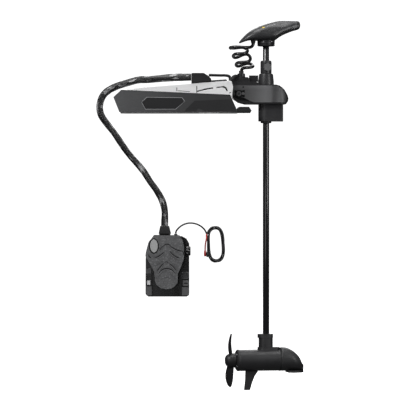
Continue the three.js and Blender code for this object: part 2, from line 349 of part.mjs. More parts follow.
const footOutline = [[-133.6, -532], [-158.7, -567], [-169, -607], [-171, -623.6], [-163, -640], [-142, -678], [-133.4, -694.6], [-130, -736], [-123, -751], [-104.4, -765.4], [-81.5, -770], [-58, -767], [-41.9, -755], [-30.5, -740], [-29.3, -698.6], [-22, -686], [-11, -657], [-3, -636], [-2.5, -600], [-3, -577], [-9, -553], [-24, -533.5]];
const padOutline = footOutline.map(([x, z]) => [PEDAL_X + (x - PEDAL_X) * 0.975, -655 + (z + 655) * 0.98]);
const buttonHole = circle(-134, -580, 18, 24, 30);
put('footplate', cut(
  add(prismY(footOutline, PLATE_Y1, PLATE_Y0),
    box(-111, -53, PLATE_Y0 - 1, FOOT_AXIS_Y, FOOT_AXIS_Z - 8, FOOT_AXIS_Z + 8), cylX(8, FOOT_AXIS_Y, FOOT_AXIS_Z, -111, -53, 20)),
  prismY(buttonHole, -150, PLATE_Y0 - 2),
  cylX(5.3, FOOT_AXIS_Y, FOOT_AXIS_Z, -200, 0, 16)), M.satin);
const groove = (x0, z0, x1, z1, w = 3.4) => {
  const dx = x1 - x0, dz = z1 - z0, l = Math.hypot(dx, dz), nx = -dz / l * w / 2, nz = dx / l * w / 2;
  return prismY([[x0 - nx, z0 - nz], [x1 - nx, z1 - nz], [x1 + nx, z1 + nz], [x0 + nx, z0 + nz]], PAD_Y - 1, PAD_Y + 1.4);
};
put('foot_pad', cut(prismY(padOutline, PAD_Y, PLATE_Y1 - GAP),
  prismY(buttonHole, -150, -100),
  groove(-94, -614, -112, -628), groove(-69, -614, -36, -640), groove(-36, -640, -22, -641),
  groove(-95, -645, -126, -668), groove(-68, -643, -37, -671),
  groove(-96, -696 + 2, -122, -729 + 8), groove(-69, -694, -44, -722),
  groove(-97, -586, -108, -597), groove(-67, -586, -30, -608),
  groove(-116, -737, -99, -722, 3), groove(-99, -722, -81, -717, 3), groove(-81, -717, -63, -722, 3), groove(-63, -722, -47, -738, 3),
), M.pad);
put('momentary_button', prismY(circle(-134, -580, 16.6, 24, 28.6), PAD_Y - 4, PLATE_Y0 - 5.5), M.button);
const wheel = Array.from({ length: 56 }, (_, i) => { const a = 2 * Math.PI * i / 56, r = i % 4 < 2 ? 21 : 18.6; return [yp(-88) + r * Math.cos(a), -602 + r * Math.sin(a)]; });
put('speed_knob', add(prismX(wheel, 5, 24.6), cylX(3, yp(-88), -602, -1, 6, 16)), M.black);
put('run_mode_slider', box(-163.6, -150.4, yp(-86), yp(-78.4), -749, -731), M.alu);
put('prop_button', box(-9.5, 9.5, yp(-87), yp(-81.6), -717, -698), M.housing);

// ================================================================ cords
const P = (px, py, y = CORD_Y) => [(px - 185) * 4.36, y, (112.6 - py) * 4.36];
const sleeveRoute = [[27.2, CORD_Y, 153], [14, CORD_Y, 152.9], [0, CORD_Y, 152.5], [-60, CORD_Y, 150], [-120, CORD_Y, 146.5], [-175, CORD_Y, 142.5], [-194.5, CORD_Y, 141.3], P(124.3, 84.2), P(112.8, 88.2), P(104.2, 94.6), P(100.2, 104.3), P(101, 113.5), P(106.4, 122.7), P(114, 133), P(130, 155), P(142.5, 170), P(150.2, 181.7), P(156.8, 190.4), P(161.6, 198.6), P(163.8, 205.7), P(164.7, 213.4), [-88, CORD_Y, -482], [-88, CORD_Y, -493.6]];
put('cable_sleeve', tube(sleeveRoute, SLEEVE_CORD_R, 8, 44), M.braid);
const leadRoute = [[-40, LEAD_EXIT_Y, -527.4], [-39.8, LEAD_EXIT_Y, -519], [-28, CORD_Y + 6, -503], [-8, CORD_Y + 3, -488.5], [20, CORD_Y, -481], [52, CORD_Y, -486], [78, CORD_Y, -502], [93, CORD_Y, -526]];
put('power_lead_run', tube(leadRoute, LEAD_R, 8, 22), M.black);
const hankOuter = circle(133, -573, 39, 28, 81.5), hankInner = circle(133, -573, 22, 24, 63);
put('power_lead_coil', cut(prismY(hankOuter, CORD_Y - 10, CORD_Y + 10), prismY(hankInner, -150, 0), tube([[60, CORD_Y, -488], [78, CORD_Y, -502], [93, CORD_Y, -526], [95, CORD_Y, -530]], LEAD_R + 0.4, 8, 6)), M.black);
put('lead_terminal_red', latheZ([[0, -626], [4.6, -626], [4.6, -604], [2.6, -598], [0, -598]], 14).translate(88, CORD_Y, 0), M.red);

export default object;
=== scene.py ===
import json
import math

import bmesh
import bpy
import numpy as np
from mathutils import Matrix, Vector


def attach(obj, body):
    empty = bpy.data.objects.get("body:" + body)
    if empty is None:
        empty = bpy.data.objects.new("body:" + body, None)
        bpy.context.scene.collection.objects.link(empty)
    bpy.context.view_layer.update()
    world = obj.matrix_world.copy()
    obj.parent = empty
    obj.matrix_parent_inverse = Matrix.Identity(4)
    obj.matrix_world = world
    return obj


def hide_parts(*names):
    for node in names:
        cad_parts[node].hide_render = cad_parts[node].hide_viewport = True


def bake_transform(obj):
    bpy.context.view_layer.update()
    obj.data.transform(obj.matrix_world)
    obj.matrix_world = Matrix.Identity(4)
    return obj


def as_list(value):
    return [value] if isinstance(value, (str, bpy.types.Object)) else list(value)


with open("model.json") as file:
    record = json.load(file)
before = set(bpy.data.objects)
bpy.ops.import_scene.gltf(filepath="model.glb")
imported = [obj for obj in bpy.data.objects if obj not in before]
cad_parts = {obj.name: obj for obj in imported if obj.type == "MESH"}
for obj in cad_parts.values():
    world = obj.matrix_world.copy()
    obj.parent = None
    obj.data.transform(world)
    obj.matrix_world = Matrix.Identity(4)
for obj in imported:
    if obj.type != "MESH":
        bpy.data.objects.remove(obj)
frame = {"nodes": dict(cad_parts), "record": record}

NODES = frame["nodes"]
scene = bpy.context.scene
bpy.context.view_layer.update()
rng = np.random.default_rng(7)
PI = math.pi

# ------------------------------------------------------------------ camera
DIST = 12.0
cam_data = bpy.data.cameras.new("camera")
cam_data.sensor_width = 36
cam_data.lens = 36 * (DIST - 0.05) / 1.744
cam_data.clip_end = 200
cam = bpy.data.objects.new("camera", cam_data)
cam.location = (0.0654, -DIST, -0.381)
cam.rotation_euler = (PI / 2, 0, 0)
scene.collection.objects.link(cam)
scene.camera = cam

# ------------------------------------------------------------------ driving dimensions, millimetres (as in the CAD)
SHAFT_X, YAW = 354.5, math.radians(10)
MOTOR_Z, MOTOR_R = -1082.0, 47.0
CORD_Y, LEAD_EXIT_Y = -86.0, -78.0
COS, SIN = math.cos(YAW), math.sin(YAW)


def yaw(p):
    """Points of the turned lower unit and head, local mm about the shaft line, to world mm."""
    p = np.asarray(p, float)
    out = p.copy()
    out[..., 0] = SHAFT_X + p[..., 0] * COS - p[..., 1] * SIN
    out[..., 1] = p[..., 0] * SIN + p[..., 1] * COS
    return out


def hx(x):
    return (x - SHAFT_X) / COS


# ------------------------------------------------------------------ materials
class Nodes:
    def __init__(self, name):
        self.m = bpy.data.materials.new(name)
        self.m.use_nodes = True
        self.t = self.m.node_tree
        self.b = self.t.nodes["Principled BSDF"]
        self.co = self.t.nodes.new("ShaderNodeTexCoord").outputs["Object"]

    def new(self, kind, **props):
        n = self.t.nodes.new("ShaderNode" + kind)
        for k, v in props.items():
            setattr(n, k, v)
        return n

    def link(self, a, b):
        self.t.links.new(a, b)

    def mapped(self, scale, source=None):
        n = self.new("Mapping")
        self.link(source or self.co, n.inputs["Vector"])
        n.inputs["Scale"].default_value = scale if hasattr(scale, "__len__") else (scale,) * 3
        return n.outputs["Vector"]

    def noise(self, scale, detail=3, rough=0.5, vector=None):
        n = self.new("TexNoise")
        self.link(vector or self.co, n.inputs["Vector"])
        n.inputs["Scale"].default_value = scale
        n.inputs["Detail"].default_value = detail
        n.inputs["Roughness"].default_value = rough
        return n.outputs["Fac"]

    def range(self, value, a, b, c, d):
        n = self.new("MapRange")
        self.link(value, n.inputs["Value"])
        for k, v in zip(("From Min", "From Max", "To Min", "To Max"), (a, b, c, d)):
            n.inputs[k].default_value = v
        return n.outputs["Result"]

    def mix(self, fac, a, b):
        n = self.new("MixRGB")
        if isinstance(fac, (int, float)):
            n.inputs["Fac"].default_value = fac
        else:
            self.link(fac, n.inputs["Fac"])
        for socket, v in (("Color1", a), ("Color2", b)):
            if isinstance(v, tuple):
                n.inputs[socket].default_value = (*v, 1) if len(v) == 3 else v
            else:
                self.link(v, n.inputs[socket])
        return n.outputs["Color"]

    def math(self, op, a, b=0.0):
        n = self.new("Math", operation=op)
        for i, v in enumerate((a, b)):
            if isinstance(v, (int, float)):
                n.inputs[i].default_value = v
            else:
                self.link(v, n.inputs[i])
        return n.outputs[0]

    def bump(self, height, strength, distance, normal=None):
        n = self.new("Bump")
        n.inputs["Strength"].default_value = strength
        n.inputs["Distance"].default_value = distance
        self.link(height, n.inputs["Height"])
        if normal is not None:
            self.link(normal, n.inputs["Normal"])
        return n.outputs["Normal"]

    def set(self, **values):
        for k, v in values.items():
            self.b.inputs[k.replace("_", " ")].default_value = v
        return self


def tone(c, k):
    return tuple(min(1.0, x * k) for x in c)


def moulded(name, col, rough=0.45, vary=0.16, grain=700, relief=0.05, blotch=14, wear=0.35, specks=0.0, metal=0.0, spec=0.5, coat=0.0, coat_rough=0.12, light_shade_along_x=None):
    """Moulded or coated surface: mottled colour, fine grain relief, uneven gloss, edges rubbed a little lighter, and
    optional painted light and shade in bands along X.
    """
    k = Nodes(name)
    big = k.noise(blotch, 4, 0.6)
    fine = k.noise(grain, 2, 0.6)
    colour = k.mix(k.range(big, 0.3, 0.7, 0, 1), tone(col, 1 - vary), tone(col, 1 + vary))
    colour = k.mix(k.range(fine, 0.35, 0.7, 0, 0.35), colour, tone(col, 1.5))
    if specks:
        dots = k.noise(grain * 0.55, 1, 0.4)
        colour = k.mix(k.range(dots, 0.58, 0.68, 0, specks), colour, tone(col, 2.6))
    if wear:
        edge = k.new("NewGeometry").outputs["Pointiness"]
        colour = k.mix(k.range(edge, 0.515, 0.60, 0, wear), colour, tuple(min(1, x * 1.8 + 0.02) for x in col))
    if light_shade_along_x:                                             # painted light and shade: colour darkened and lightened in bands along the part's X
        x = k.new("SeparateXYZ")
        k.link(k.co, x.inputs[0])
        x0, x1 = light_shade_along_x[0][0], light_shade_along_x[-1][0]
        ramp = k.new("ValToRGB")
        k.link(k.range(k.math("ADD", x.outputs[0], k.range(big, 0, 1, -0.006, 0.006)), x0 / 1000, x1 / 1000, 0, 1), ramp.inputs["Fac"])
        el = ramp.color_ramp.elements
        for i, (mm, f) in enumerate(light_shade_along_x):
            e = el[0] if i == 0 else el[-1] if i == len(light_shade_along_x) - 1 else el.new((mm - x0) / (x1 - x0))
            e.color = (f, f, f, 1)
        m = k.new("MixRGB", blend_type="MULTIPLY")
        m.inputs["Fac"].default_value = 1.0
        k.link(colour, m.inputs["Color1"]); k.link(ramp.outputs["Color"], m.inputs["Color2"])
        colour = m.outputs["Color"]
    k.link(colour, k.b.inputs["Base Color"])
    k.link(k.range(k.noise(blotch * 3.1, 5, 0.65), 0.25, 0.75, max(0.04, rough * 0.84), min(1, rough * 1.16)), k.b.inputs["Roughness"])
    k.link(k.bump(fine, relief, 0.0012), k.b.inputs["Normal"])
    k.set(Metallic=metal, Coat_Weight=coat, Coat_Roughness=coat_rough)
    k.b.inputs["Specular IOR Level"].default_value = spec
    return k.m


def brushed(name, col, rough=0.3, along=(3, 420, 420), depth=0.12, metal=1.0, vary=0.1):
    """Drawn metal: fine lines along one axis, in colour, gloss and relief."""
    k = Nodes(name)
    lines = k.noise(1.0, 5, 0.7, k.mapped(along))
    cloud = k.noise(9, 4, 0.6)
    colour = k.mix(k.range(lines, 0.3, 0.7, 0, 1), tone(col, 1 - vary), tone(col, 1 + vary * 0.6))
    colour = k.mix(k.range(cloud, 0.35, 0.7, 0, 0.25), colour, tone(col, 0.86))
    k.link(colour, k.b.inputs["Base Color"])
    k.link(k.range(lines, 0.25, 0.75, rough * 0.75, rough * 1.3), k.b.inputs["Roughness"])
    k.link(k.bump(lines, depth, 0.0006), k.b.inputs["Normal"])
    k.set(Metallic=metal)
    return k.m


def braid_material():
    """Braided monofilament: crossed strands read from the sleeve's own length and turn coordinates, glossy on top of
    each strand, with painted shade in the gaps between strands and painted white glints on their tops.
    """
    k = Nodes("sleeve_braid")
    uv = k.new("UVMap", uv_map="along_around").outputs["UV"]
    sep = k.new("SeparateXYZ")
    k.link(uv, sep.inputs[0])
    u, v = sep.outputs[0], sep.outputs[1]                    # strand counts along and around
    a = k.math("ADD", v, u)
    b = k.math("SUBTRACT", v, u)
    fine_a = k.math("ABSOLUTE", k.math("SINE", k.math("MULTIPLY", a, PI * 4)))
    fine_b = k.math("ABSOLUTE", k.math("SINE", k.math("MULTIPLY", b, PI * 4)))
    side = k.math("GREATER_THAN", k.math("SINE", k.math("MULTIPLY", k.math("FLOOR", a), PI)), 2.0)
    fa, fb = k.math("FLOOR", a), k.math("FLOOR", b)
    parity = k.math("ABSOLUTE", k.math("SUBTRACT", k.math("MODULO", k.math("ADD", k.math("ADD", fa, fb), 400.0), 2.0), 0.0))
    over = k.math("GREATER_THAN", parity, 0.5)
    strand = k.new("MixRGB")
    k.link(over, strand.inputs["Fac"]); k.link(fine_a, strand.inputs["Color1"]); k.link(fine_b, strand.inputs["Color2"])
    h = strand.outputs["Color"]
    # painted shade: darker in the gaps between strands, lighter on their tops
    colour = k.mix(k.range(h, 0.15, 1.0, 0, 1), (0.001, 0.001, 0.0012), (0.013, 0.013, 0.014))
    # painted highlight: white glints streaked over the strand tops
    glint_streak = k.noise(1.0, 2, 0.5, k.mapped((0.16, 0.42, 1.0), uv))
    painted_glints = k.math("MULTIPLY", k.range(glint_streak, 0.56, 0.63, 0, 1), k.range(h, 0.45, 0.92, 0.25, 1.0))
    colour = k.mix(painted_glints, colour, (0.62, 0.62, 0.63))
    k.link(colour, k.b.inputs["Base Color"])
    k.link(k.range(h, 0, 1, 0.42, 0.2), k.b.inputs["Roughness"])
    k.link(k.bump(h, 0.5, 0.0006), k.b.inputs["Normal"])
    k.set(Coat_Weight=0.35, Coat_Roughness=0.18)
    return k.m


def jacket(name, col, rough=0.34):
    k = Nodes(name)
    scuff = k.noise(60, 4, 0.6)
    k.link(k.mix(k.range(scuff, 0.4, 0.75, 0, 0.6), col, tone(col, 2.2)), k.b.inputs["Base Color"])
    k.link(k.range(k.noise(110, 4, 0.6), 0.3, 0.7, rough * 0.8, rough * 1.3), k.b.inputs["Roughness"])
    k.link(k.bump(k.noise(420, 3, 0.6), 0.06, 0.0006), k.b.inputs["Normal"])
    k.set(Coat_Weight=0.25, Coat_Roughness=0.15)
    return k.m


def polished(name, col, rough, along=None, coat=0.5, vary=0.2, relief=0.03):
    k = Nodes(name)
    vec = k.mapped(along) if along else None
    wave = k.noise(1.0 if along else 22, 4, 0.55, vec)
    k.link(k.mix(k.range(wave, 0.3, 0.7, 0, 1), tone(col, 1 - vary), tone(col, 1 + vary * 2)), k.b.inputs["Base Color"])
    k.link(k.range(k.noise(1.5, 3, 0.5, vec) if along else k.noise(75, 5, 0.6), 0.3, 0.7, rough * (0.8 if relief else 0.96), rough * (1.35 if relief else 1.08)), k.b.inputs["Roughness"])
    if relief:
        k.link(k.bump(k.noise(260, 3, 0.5, vec), relief, 0.0005), k.b.inputs["Normal"])
    k.set(Coat_Weight=coat, Coat_Roughness=0.16 if along else 0.08)
    return k.m


def wound_copper():
    k = Nodes("armature_steel")
    w = k.new("TexWave", wave_type="BANDS", bands_direction="X")
    k.link(k.co, w.inputs["Vector"]); w.inputs["Scale"].default_value = 160; w.inputs["Distortion"].default_value = 0.6
    k.link(k.mix(w.outputs["Fac"], (0.20, 0.07, 0.03), (0.62, 0.30, 0.15)), k.b.inputs["Base Color"])
    k.link(k.bump(w.outputs["Fac"], 0.3, 0.0006), k.b.inputs["Normal"])
    k.link(k.range(k.noise(60), 0.3, 0.7, 0.28, 0.5), k.b.inputs["Roughness"])
    k.set(Metallic=0.85)
    return k.m


M = {
    "aluminium_bright": brushed("aluminium_bright", (0.985, 0.985, 0.99), 0.50, (4, 300, 300), 0.1, 0.12, 0.04),
    # cover_charcoal and housing_grey carry painted light and shade in bands along X
    "cover_charcoal": moulded("cover_charcoal", (0.072, 0.073, 0.076), 0.52, 0.12, 620, 0.10, 7, 0.5, light_shade_along_x=[[-311, 0.95], [-200, 0.85], [-60, 0.56], [60, 0.42], [232, 0.30]]),
    "black_plastic": moulded("black_plastic", (0.0125, 0.0125, 0.0135), 0.40, 0.2, 700, 0.05, 20, 0.5),
    "black_rubber": moulded("black_rubber", (0.013, 0.013, 0.014), 0.72, 0.2, 420, 0.16, 24, 0.5),
    "steel": brushed("steel", (0.52, 0.53, 0.55), 0.3, (220, 220, 220), 0.08),
    "sleeve_braid": braid_material(),
    "pedal_gloss": polished("pedal_gloss", (0.006, 0.006, 0.007), 0.22, None, 0.35),
    "pedal_frame": moulded("pedal_frame", (0.020, 0.020, 0.022), 0.42, 0.15, 600, 0.06, 16, 0.5),
    "pedal_pad": moulded("pedal_pad", (0.105, 0.106, 0.109), 0.80, 0.30, 380, 0.5, 60, 0.6, specks=0.6),
    "lead_black": jacket("lead_black", (0.014, 0.014, 0.015), 0.42),
    "terminal_red": polished("terminal_red", (0.50, 0.030, 0.024), 0.32, None, 0.3, 0.15),
    "black_satin": moulded("black_satin", (0.030, 0.030, 0.032), 0.36, 0.18, 640, 0.06, 18, 0.5),
    "housing_grey": moulded("housing_grey", (0.122, 0.123, 0.126), 0.46, 0.10, 640, 0.08, 9, 0.5, light_shade_along_x=[[205, 0.26], [245, 0.36], [275, 0.52], [325, 0.85], [352, 1.0], [374, 0.86], [386, 0.42], [396, 0.48], [410, 0.80], [430, 0.74], [440, 0.35], [447, 0.10]]),
    "bearing_plastic": moulded("bearing_plastic", (0.60, 0.60, 0.57), 0.5, 0.06, 500, 0.04, 20, 0.0),
    "cord_black": jacket("cord_black", (0.010, 0.010, 0.011), 0.26),
    "gear_brass": brushed("gear_brass", (0.62, 0.46, 0.21), 0.32, (200, 200, 30), 0.1),
    "shaft_gloss": polished("shaft_gloss", (0.009, 0.009, 0.010), 0.19, (60, 60, 1), 0.8, relief=0.0),
    "head_satin": moulded("head_satin", (0.026, 0.0265, 0.028), 0.34, 0.14, 700, 0.05, 16, 0.5, coat=0.15, coat_rough=0.25),
    "circuit_green": moulded("circuit_green", (0.015, 0.09, 0.035), 0.4, 0.25, 300, 0.1, 60, 0.0),
    "motor_satin": moulded("motor_satin", (0.024, 0.024, 0.0255), 0.44, 0.2, 520, 0.12, 18, 0.4),
    "motor_paint": moulded("motor_paint", (0.024, 0.024, 0.0255), 0.40, 0.18, 560, 0.10, 14, 0.4),
    "magnet": moulded("magnet", (0.06, 0.06, 0.065), 0.55, 0.2, 300, 0.2, 30, 0.3),
    "armature_steel": wound_copper(),
    "prop_black": moulded("prop_black", (0.017, 0.017, 0.018), 0.40, 0.2, 600, 0.08, 20, 0.6),
    "button_grey": moulded("button_grey", (0.40, 0.405, 0.405), 0.5, 0.06, 500, 0.08, 30, 0.3),
    "switch_silver": moulded("switch_silver", (0.90, 0.91, 0.92), 0.36, 0.08, 500, 0.04, 30, 0.3, metal=0.4),
}
YELLOW = moulded("mark_yellow", (0.62, 0.46, 0.05), 0.4, 0.12, 500, 0.04, 60, 0.0)
# near-black, low gloss: painted shade in recesses, slots, grooves and round the pedal button, and the colour of a few
# small black parts
BLACK_AND_SHADE = moulded("black_and_painted_shade", (0.003, 0.003, 0.0035), 0.6, 0.2, 500, 0.1, 40, 0.0, spec=0.12)
SILVER = brushed("trim_silver", (0.72, 0.73, 0.75), 0.28, (60, 300, 300), 0.06)
PANEL_GLOSS = polished("panel_gloss", (0.005, 0.005, 0.006), 0.34, None, 0.15, relief=0.0)
# near-black: painted shade on the side covers' facets, and the badges' own dark fill
FACET_SHADE_AND_BADGE = moulded("facet_shade_and_badge_black", (0.0125, 0.0125, 0.0135), 0.50, 0.12, 620, 0.08, 7, 0.4, spec=0.3)
RIM_SILVER = moulded("rim_silver", (0.30, 0.30, 0.31), 0.4, 0.08, 500, 0.04, 40, 0.2)
BOX_GREY = moulded("box_grey", (0.088, 0.088, 0.091), 0.42, 0.15, 600, 0.06, 16, 0.6)
# mid-dark grey: painted shade over the foot pad's hollows
HOLLOW_SHADE = moulded("pad_hollow_shade", (0.050, 0.050, 0.052), 0.80, 0.30, 380, 0.5, 60, 0.3)
# light grey: painted highlight on the foot pad's groove lips
LIP_HIGHLIGHT = moulded("lip_painted_highlight", (0.17, 0.17, 0.175), 0.7, 0.2, 380, 0.2, 60, 0.3)
KNOB_GLOSS = polished("knob_gloss", (0.009, 0.009, 0.010), 0.12, None, 0.9, relief=0.0)
RING_GREY = moulded("ring_grey", (0.09, 0.09, 0.092), 0.35, 0.1, 500, 0.05, 40, 0.4)

SLOT_OF = {}
for sub in frame["record"].get("subparts", []):
    name = sub.get("node") or sub.get("name")
    slot = sub.get("material") or sub.get("slot") or sub.get("material_slot")
    if name and slot:
        SLOT_OF[name] = slot

# ------------------------------------------------------------------ mesh helpers (millimetres in, metres out)


def mesh_obj(name, verts, faces, mat, body=None, smooth=True, sharp=None):
    me = bpy.data.meshes.new(name)
    me.from_pydata((np.asarray(verts, float) * 0.001).tolist(), [], [list(map(int, f)) for f in faces])
    b = bmesh.new()
    b.from_mesh(me)
    bmesh.ops.remove_doubles(b, verts=b.verts, dist=1e-6)
    bmesh.ops.recalc_face_normals(b, faces=b.faces)
    b.to_mesh(me)
    b.free()
    me.polygons.foreach_set("use_smooth", [smooth] * len(me.polygons))
    if sharp is not None:
        me.set_sharp_from_angle(angle=math.radians(sharp))
    o = bpy.data.objects.new(name, me)
    scene.collection.objects.link(o)
    me.materials.append(mat)
    if body:
        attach(o, body)
    return o


def soften(o, width=0.8, segments=3, angle=32, weighted=True):
    m = o.modifiers.new("edge", "BEVEL")
    m.width = width * 0.001
    m.segments = segments
    m.limit_method = "ANGLE"
    m.angle_limit = math.radians(angle)
    m.use_clamp_overlap = True
    m.harden_normals = False
    m.miter_outer = "MITER_SHARP"
    if weighted:
        w = o.modifiers.new("normals", "WEIGHTED_NORMAL")
        w.keep_sharp = False
    return o


def resample(p, n):
    p = np.asarray(p, float)
    s = np.r_[0, np.cumsum(np.linalg.norm(np.diff(p, axis=0), axis=1))]
    t = np.linspace(0, s[-1], n)
    return np.stack([np.interp(t, s, p[:, i]) for i in range(p.shape[1])], 1)


def catmull(pts, per=24):
    """Centripetal Catmull-Rom through the points, as the CAD's tubes follow."""
    p = np.asarray(pts, float)
    p = np.vstack([2 * p[0] - p[1], p, 2 * p[-1] - p[-2]])
    out = []
    for i in range(1, len(p) - 2):
        p0, p1, p2, p3 = p[i - 1:i + 3]
        t0 = 0.0
        t1 = t0 + math.sqrt(np.linalg.norm(p1 - p0))
        t2 = t1 + math.sqrt(np.linalg.norm(p2 - p1))
        t3 = t2 + math.sqrt(np.linalg.norm(p3 - p2))
        for t in np.linspace(t1, t2, per, endpoint=False):
            a1 = (t1 - t) / (t1 - t0) * p0 + (t - t0) / (t1 - t0) * p1
            a2 = (t2 - t) / (t2 - t1) * p1 + (t - t1) / (t2 - t1) * p2
            a3 = (t3 - t) / (t3 - t2) * p2 + (t - t2) / (t3 - t2) * p3
            b1 = (t2 - t) / (t2 - t0) * a1 + (t - t0) / (t2 - t0) * a2
            b2 = (t3 - t) / (t3 - t1) * a2 + (t - t1) / (t3 - t1) * a3
            out.append((t2 - t) / (t2 - t1) * b1 + (t - t1) / (t2 - t1) * b2)
    out.append(p[-2])
    return np.array(out)


def smooth_path(p, times=1):
    p = np.array(p, float)
    for _ in range(times):
        q = p.copy()
        q[1:-1] = 0.25 * p[:-2] + 0.5 * p[1:-1] + 0.25 * p[2:]
        p = q
    return p


def path_length(p):
    return float(np.linalg.norm(np.diff(np.asarray(p, float), axis=0), axis=1).sum())


def frames(p):
    t = np.gradient(p, axis=0)
    t /= np.linalg.norm(t, axis=1)[:, None]
    up = np.array([0, 1.0, 0])
    if abs(t[0] @ up) > 0.9:
        up = np.array([1.0, 0, 0])
    n = up - (up @ t[0]) * t[0]
    n /= np.linalg.norm(n)
    ns = [n]
    for i in range(1, len(p)):
        n = ns[-1] - (ns[-1] @ t[i]) * t[i]
        n /= np.linalg.norm(n)
        ns.append(n)
    ns = np.array(ns)
    return t, ns, np.cross(t, ns)


def sweep(name, path, radius, sides, mat, body=None, uv=None, flat=1.0):
    """A closed tube along path. radius is a number, one per ring, or one per ring and side."""
    p = np.asarray(path, float)
    n = len(p)
    _, a, b = frames(p)
    ang = np.arange(sides) * 2 * PI / sides
    r = np.broadcast_to(np.asarray(radius, float).reshape((-1, 1)) if np.ndim(radius) == 1 else np.asarray(radius, float), (n, sides))
    v = p[:, None, :] + r[..., None] * (np.cos(ang)[None, :, None] * a[:, None, :] + flat * np.sin(ang)[None, :, None] * b[:, None, :])
    verts = v.reshape(-1, 3)
    faces = []
    for i in range(n - 1):
        for j in range(sides):
            k = (j + 1) % sides
            faces.append((i * sides + j, i * sides + k, (i + 1) * sides + k, (i + 1) * sides + j))
    faces.append(tuple(range(sides))[::-1])
    faces.append(tuple(range((n - 1) * sides, n * sides)))
    me = bpy.data.meshes.new(name)
    me.from_pydata((verts * 0.001).tolist(), [], faces)
    if uv is not None:
        layer = me.uv_layers.new(name="along_around")
        idx = np.zeros(len(me.loops), int)
        me.loops.foreach_get("vertex_index", idx)
        ring, col = idx // sides, idx % sides
        start = np.zeros(len(me.polygons), int)
        me.polygons.foreach_get("loop_start", start)
        side_of = np.repeat(np.arange(len(me.polygons)), [pl.loop_total for pl in me.polygons])
        j = side_of % sides
        wrapped = (j == sides - 1) & (col == 0) & (side_of < (n - 1) * sides)
        col = col + wrapped * sides
        s = np.r_[0, np.cumsum(np.linalg.norm(np.diff(p, axis=0), axis=1))]
        data = np.stack([s[ring] / uv[0], col / sides * uv[1]], 1)
        layer.data.foreach_set("uv", data.astype(np.float32).ravel())
    b2 = bmesh.new()
    b2.from_mesh(me)
    bmesh.ops.recalc_face_normals(b2, faces=b2.faces)
    b2.to_mesh(me)
    b2.free()
    me.polygons.foreach_set("use_smooth", [True] * len(me.polygons))
    o = bpy.data.objects.new(name, me)
    scene.collection.objects.link(o)
    me.materials.append(mat)
    if body:
        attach(o, body)
    return o


def loft(name, rings, mat, body=None, sharp=50, cap0=True, cap1=True, move=None):
    r = np.asarray(rings, float)
    n, m = r.shape[:2]
    verts = r.reshape(-1, 3)
    if move is not None:
        verts = move(verts)
    faces = [(i * m + j, i * m + (j + 1) % m, (i + 1) * m + (j + 1) % m, (i + 1) * m + j) for i in range(n - 1) for j in range(m)]
    if cap0:
        faces.append(tuple(range(m))[::-1])
    if cap1:
        faces.append(tuple(range((n - 1) * m, n * m)))
    return mesh_obj(name, verts, faces, mat, body, True, sharp)


def lathe(name, profile, axis, centre, mat, body, sides=64, sharp=40, move=None):
    """profile is [radius, height] along axis 'x', 'y' or 'z', from one pole or rim to the other, closed on itself if it starts off the axis."""
    prof = np.asarray(profile, float)
    ang = np.arange(sides) * 2 * PI / sides
    rings = []
    for rad, h in prof:
        c, s = max(rad, 1e-4) * np.cos(ang), max(rad, 1e-4) * np.sin(ang)
        hh = np.full(sides, h)
        q = {"x": (hh, c, s), "y": (c, hh, s), "z": (c, s, hh)}[axis]
        rings.append(np.stack(q, 1) + np.asarray(centre, float))
    closed = prof[0][0] > 1e-3
    if closed:
        rings.append(rings[0])
    return loft(name, rings, mat, body, sharp, not closed, not closed, move)


def prism(name, poly, axis, a, b, mat, body=None, width=0.6, segs=3, move=None, smooth=True, holes=()):
    """A flat outline pulled from a to b along axis ('y': outline in X and Z; 'z': X and Y; 'x': Y and Z), with softened edges."""
    me = bpy.data.meshes.new(name)
    bm = bmesh.new()

    def at(u, v, h):
        q = {"y": (u, h, v), "z": (u, v, h), "x": (h, u, v)}[axis]
        return q
    loops = [poly, *holes]
    if not holes:
        base = [bm.verts.new([c * 0.001 for c in at(u, v, a)]) for u, v in poly]
        top = [bm.verts.new([c * 0.001 for c in at(u, v, b)]) for u, v in poly]
        bm.faces.new(base)
        bm.faces.new(top[::-1])
        k = len(poly)
        for i in range(k):
            bm.faces.new((base[i], base[(i + 1) % k], top[(i + 1) % k], top[i]))
    else:
        edges = []
        for lp in loops:
            vs = [bm.verts.new([c * 0.001 for c in at(u, v, a)]) for u, v in lp]
            edges += [bm.edges.new((vs[i], vs[(i + 1) % len(vs)])) for i in range(len(vs))]
        bmesh.ops.triangle_fill(bm, use_beauty=True, use_dissolve=False, edges=edges)
        ext = bmesh.ops.extrude_face_region(bm, geom=list(bm.faces))
        shift = Vector([c * 0.001 for c in at(0, 0, b - a)])
        bmesh.ops.translate(bm, vec=shift, verts=[g for g in ext["geom"] if isinstance(g, bmesh.types.BMVert)])
        bmesh.ops.dissolve_limit(bm, angle_limit=0.01, verts=bm.verts, edges=bm.edges)
    bmesh.ops.recalc_face_normals(bm, faces=bm.faces)
    bm.to_mesh(me)
    bm.free()
    if move is not None:
        co = np.array([v.co for v in me.vertices]) * 1000
        me.vertices.foreach_set("co", (move(co) * 0.001).ravel())
    me.polygons.foreach_set("use_smooth", [smooth] * len(me.polygons))
    o = bpy.data.objects.new(name, me)
    scene.collection.objects.link(o)
    me.materials.append(mat)
    if body:
        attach(o, body)
    if width:
        soften(o, width, segs)
    return o


def ring_pts(cx, cy, r, n=32, ry=None, a0=0.0):
    ry = r if ry is None else ry
    return [(cx + r * math.cos(a0 + 2 * PI * i / n), cy + ry * math.sin(a0 + 2 * PI * i / n)) for i in range(n)]


def rounded(x0, x1, y0, y1, r, n=6):
    out = []
    for cx, cy, q in ((x1 - r, y1 - r, 0), (x0 + r, y1 - r, 1), (x0 + r, y0 + r, 2), (x1 - r, y0 + r, 3)):
        for i in range(n + 1):
            a = (q + i / n) * PI / 2
            out.append((cx + r * math.cos(a), cy + r * math.sin(a)))
    return out


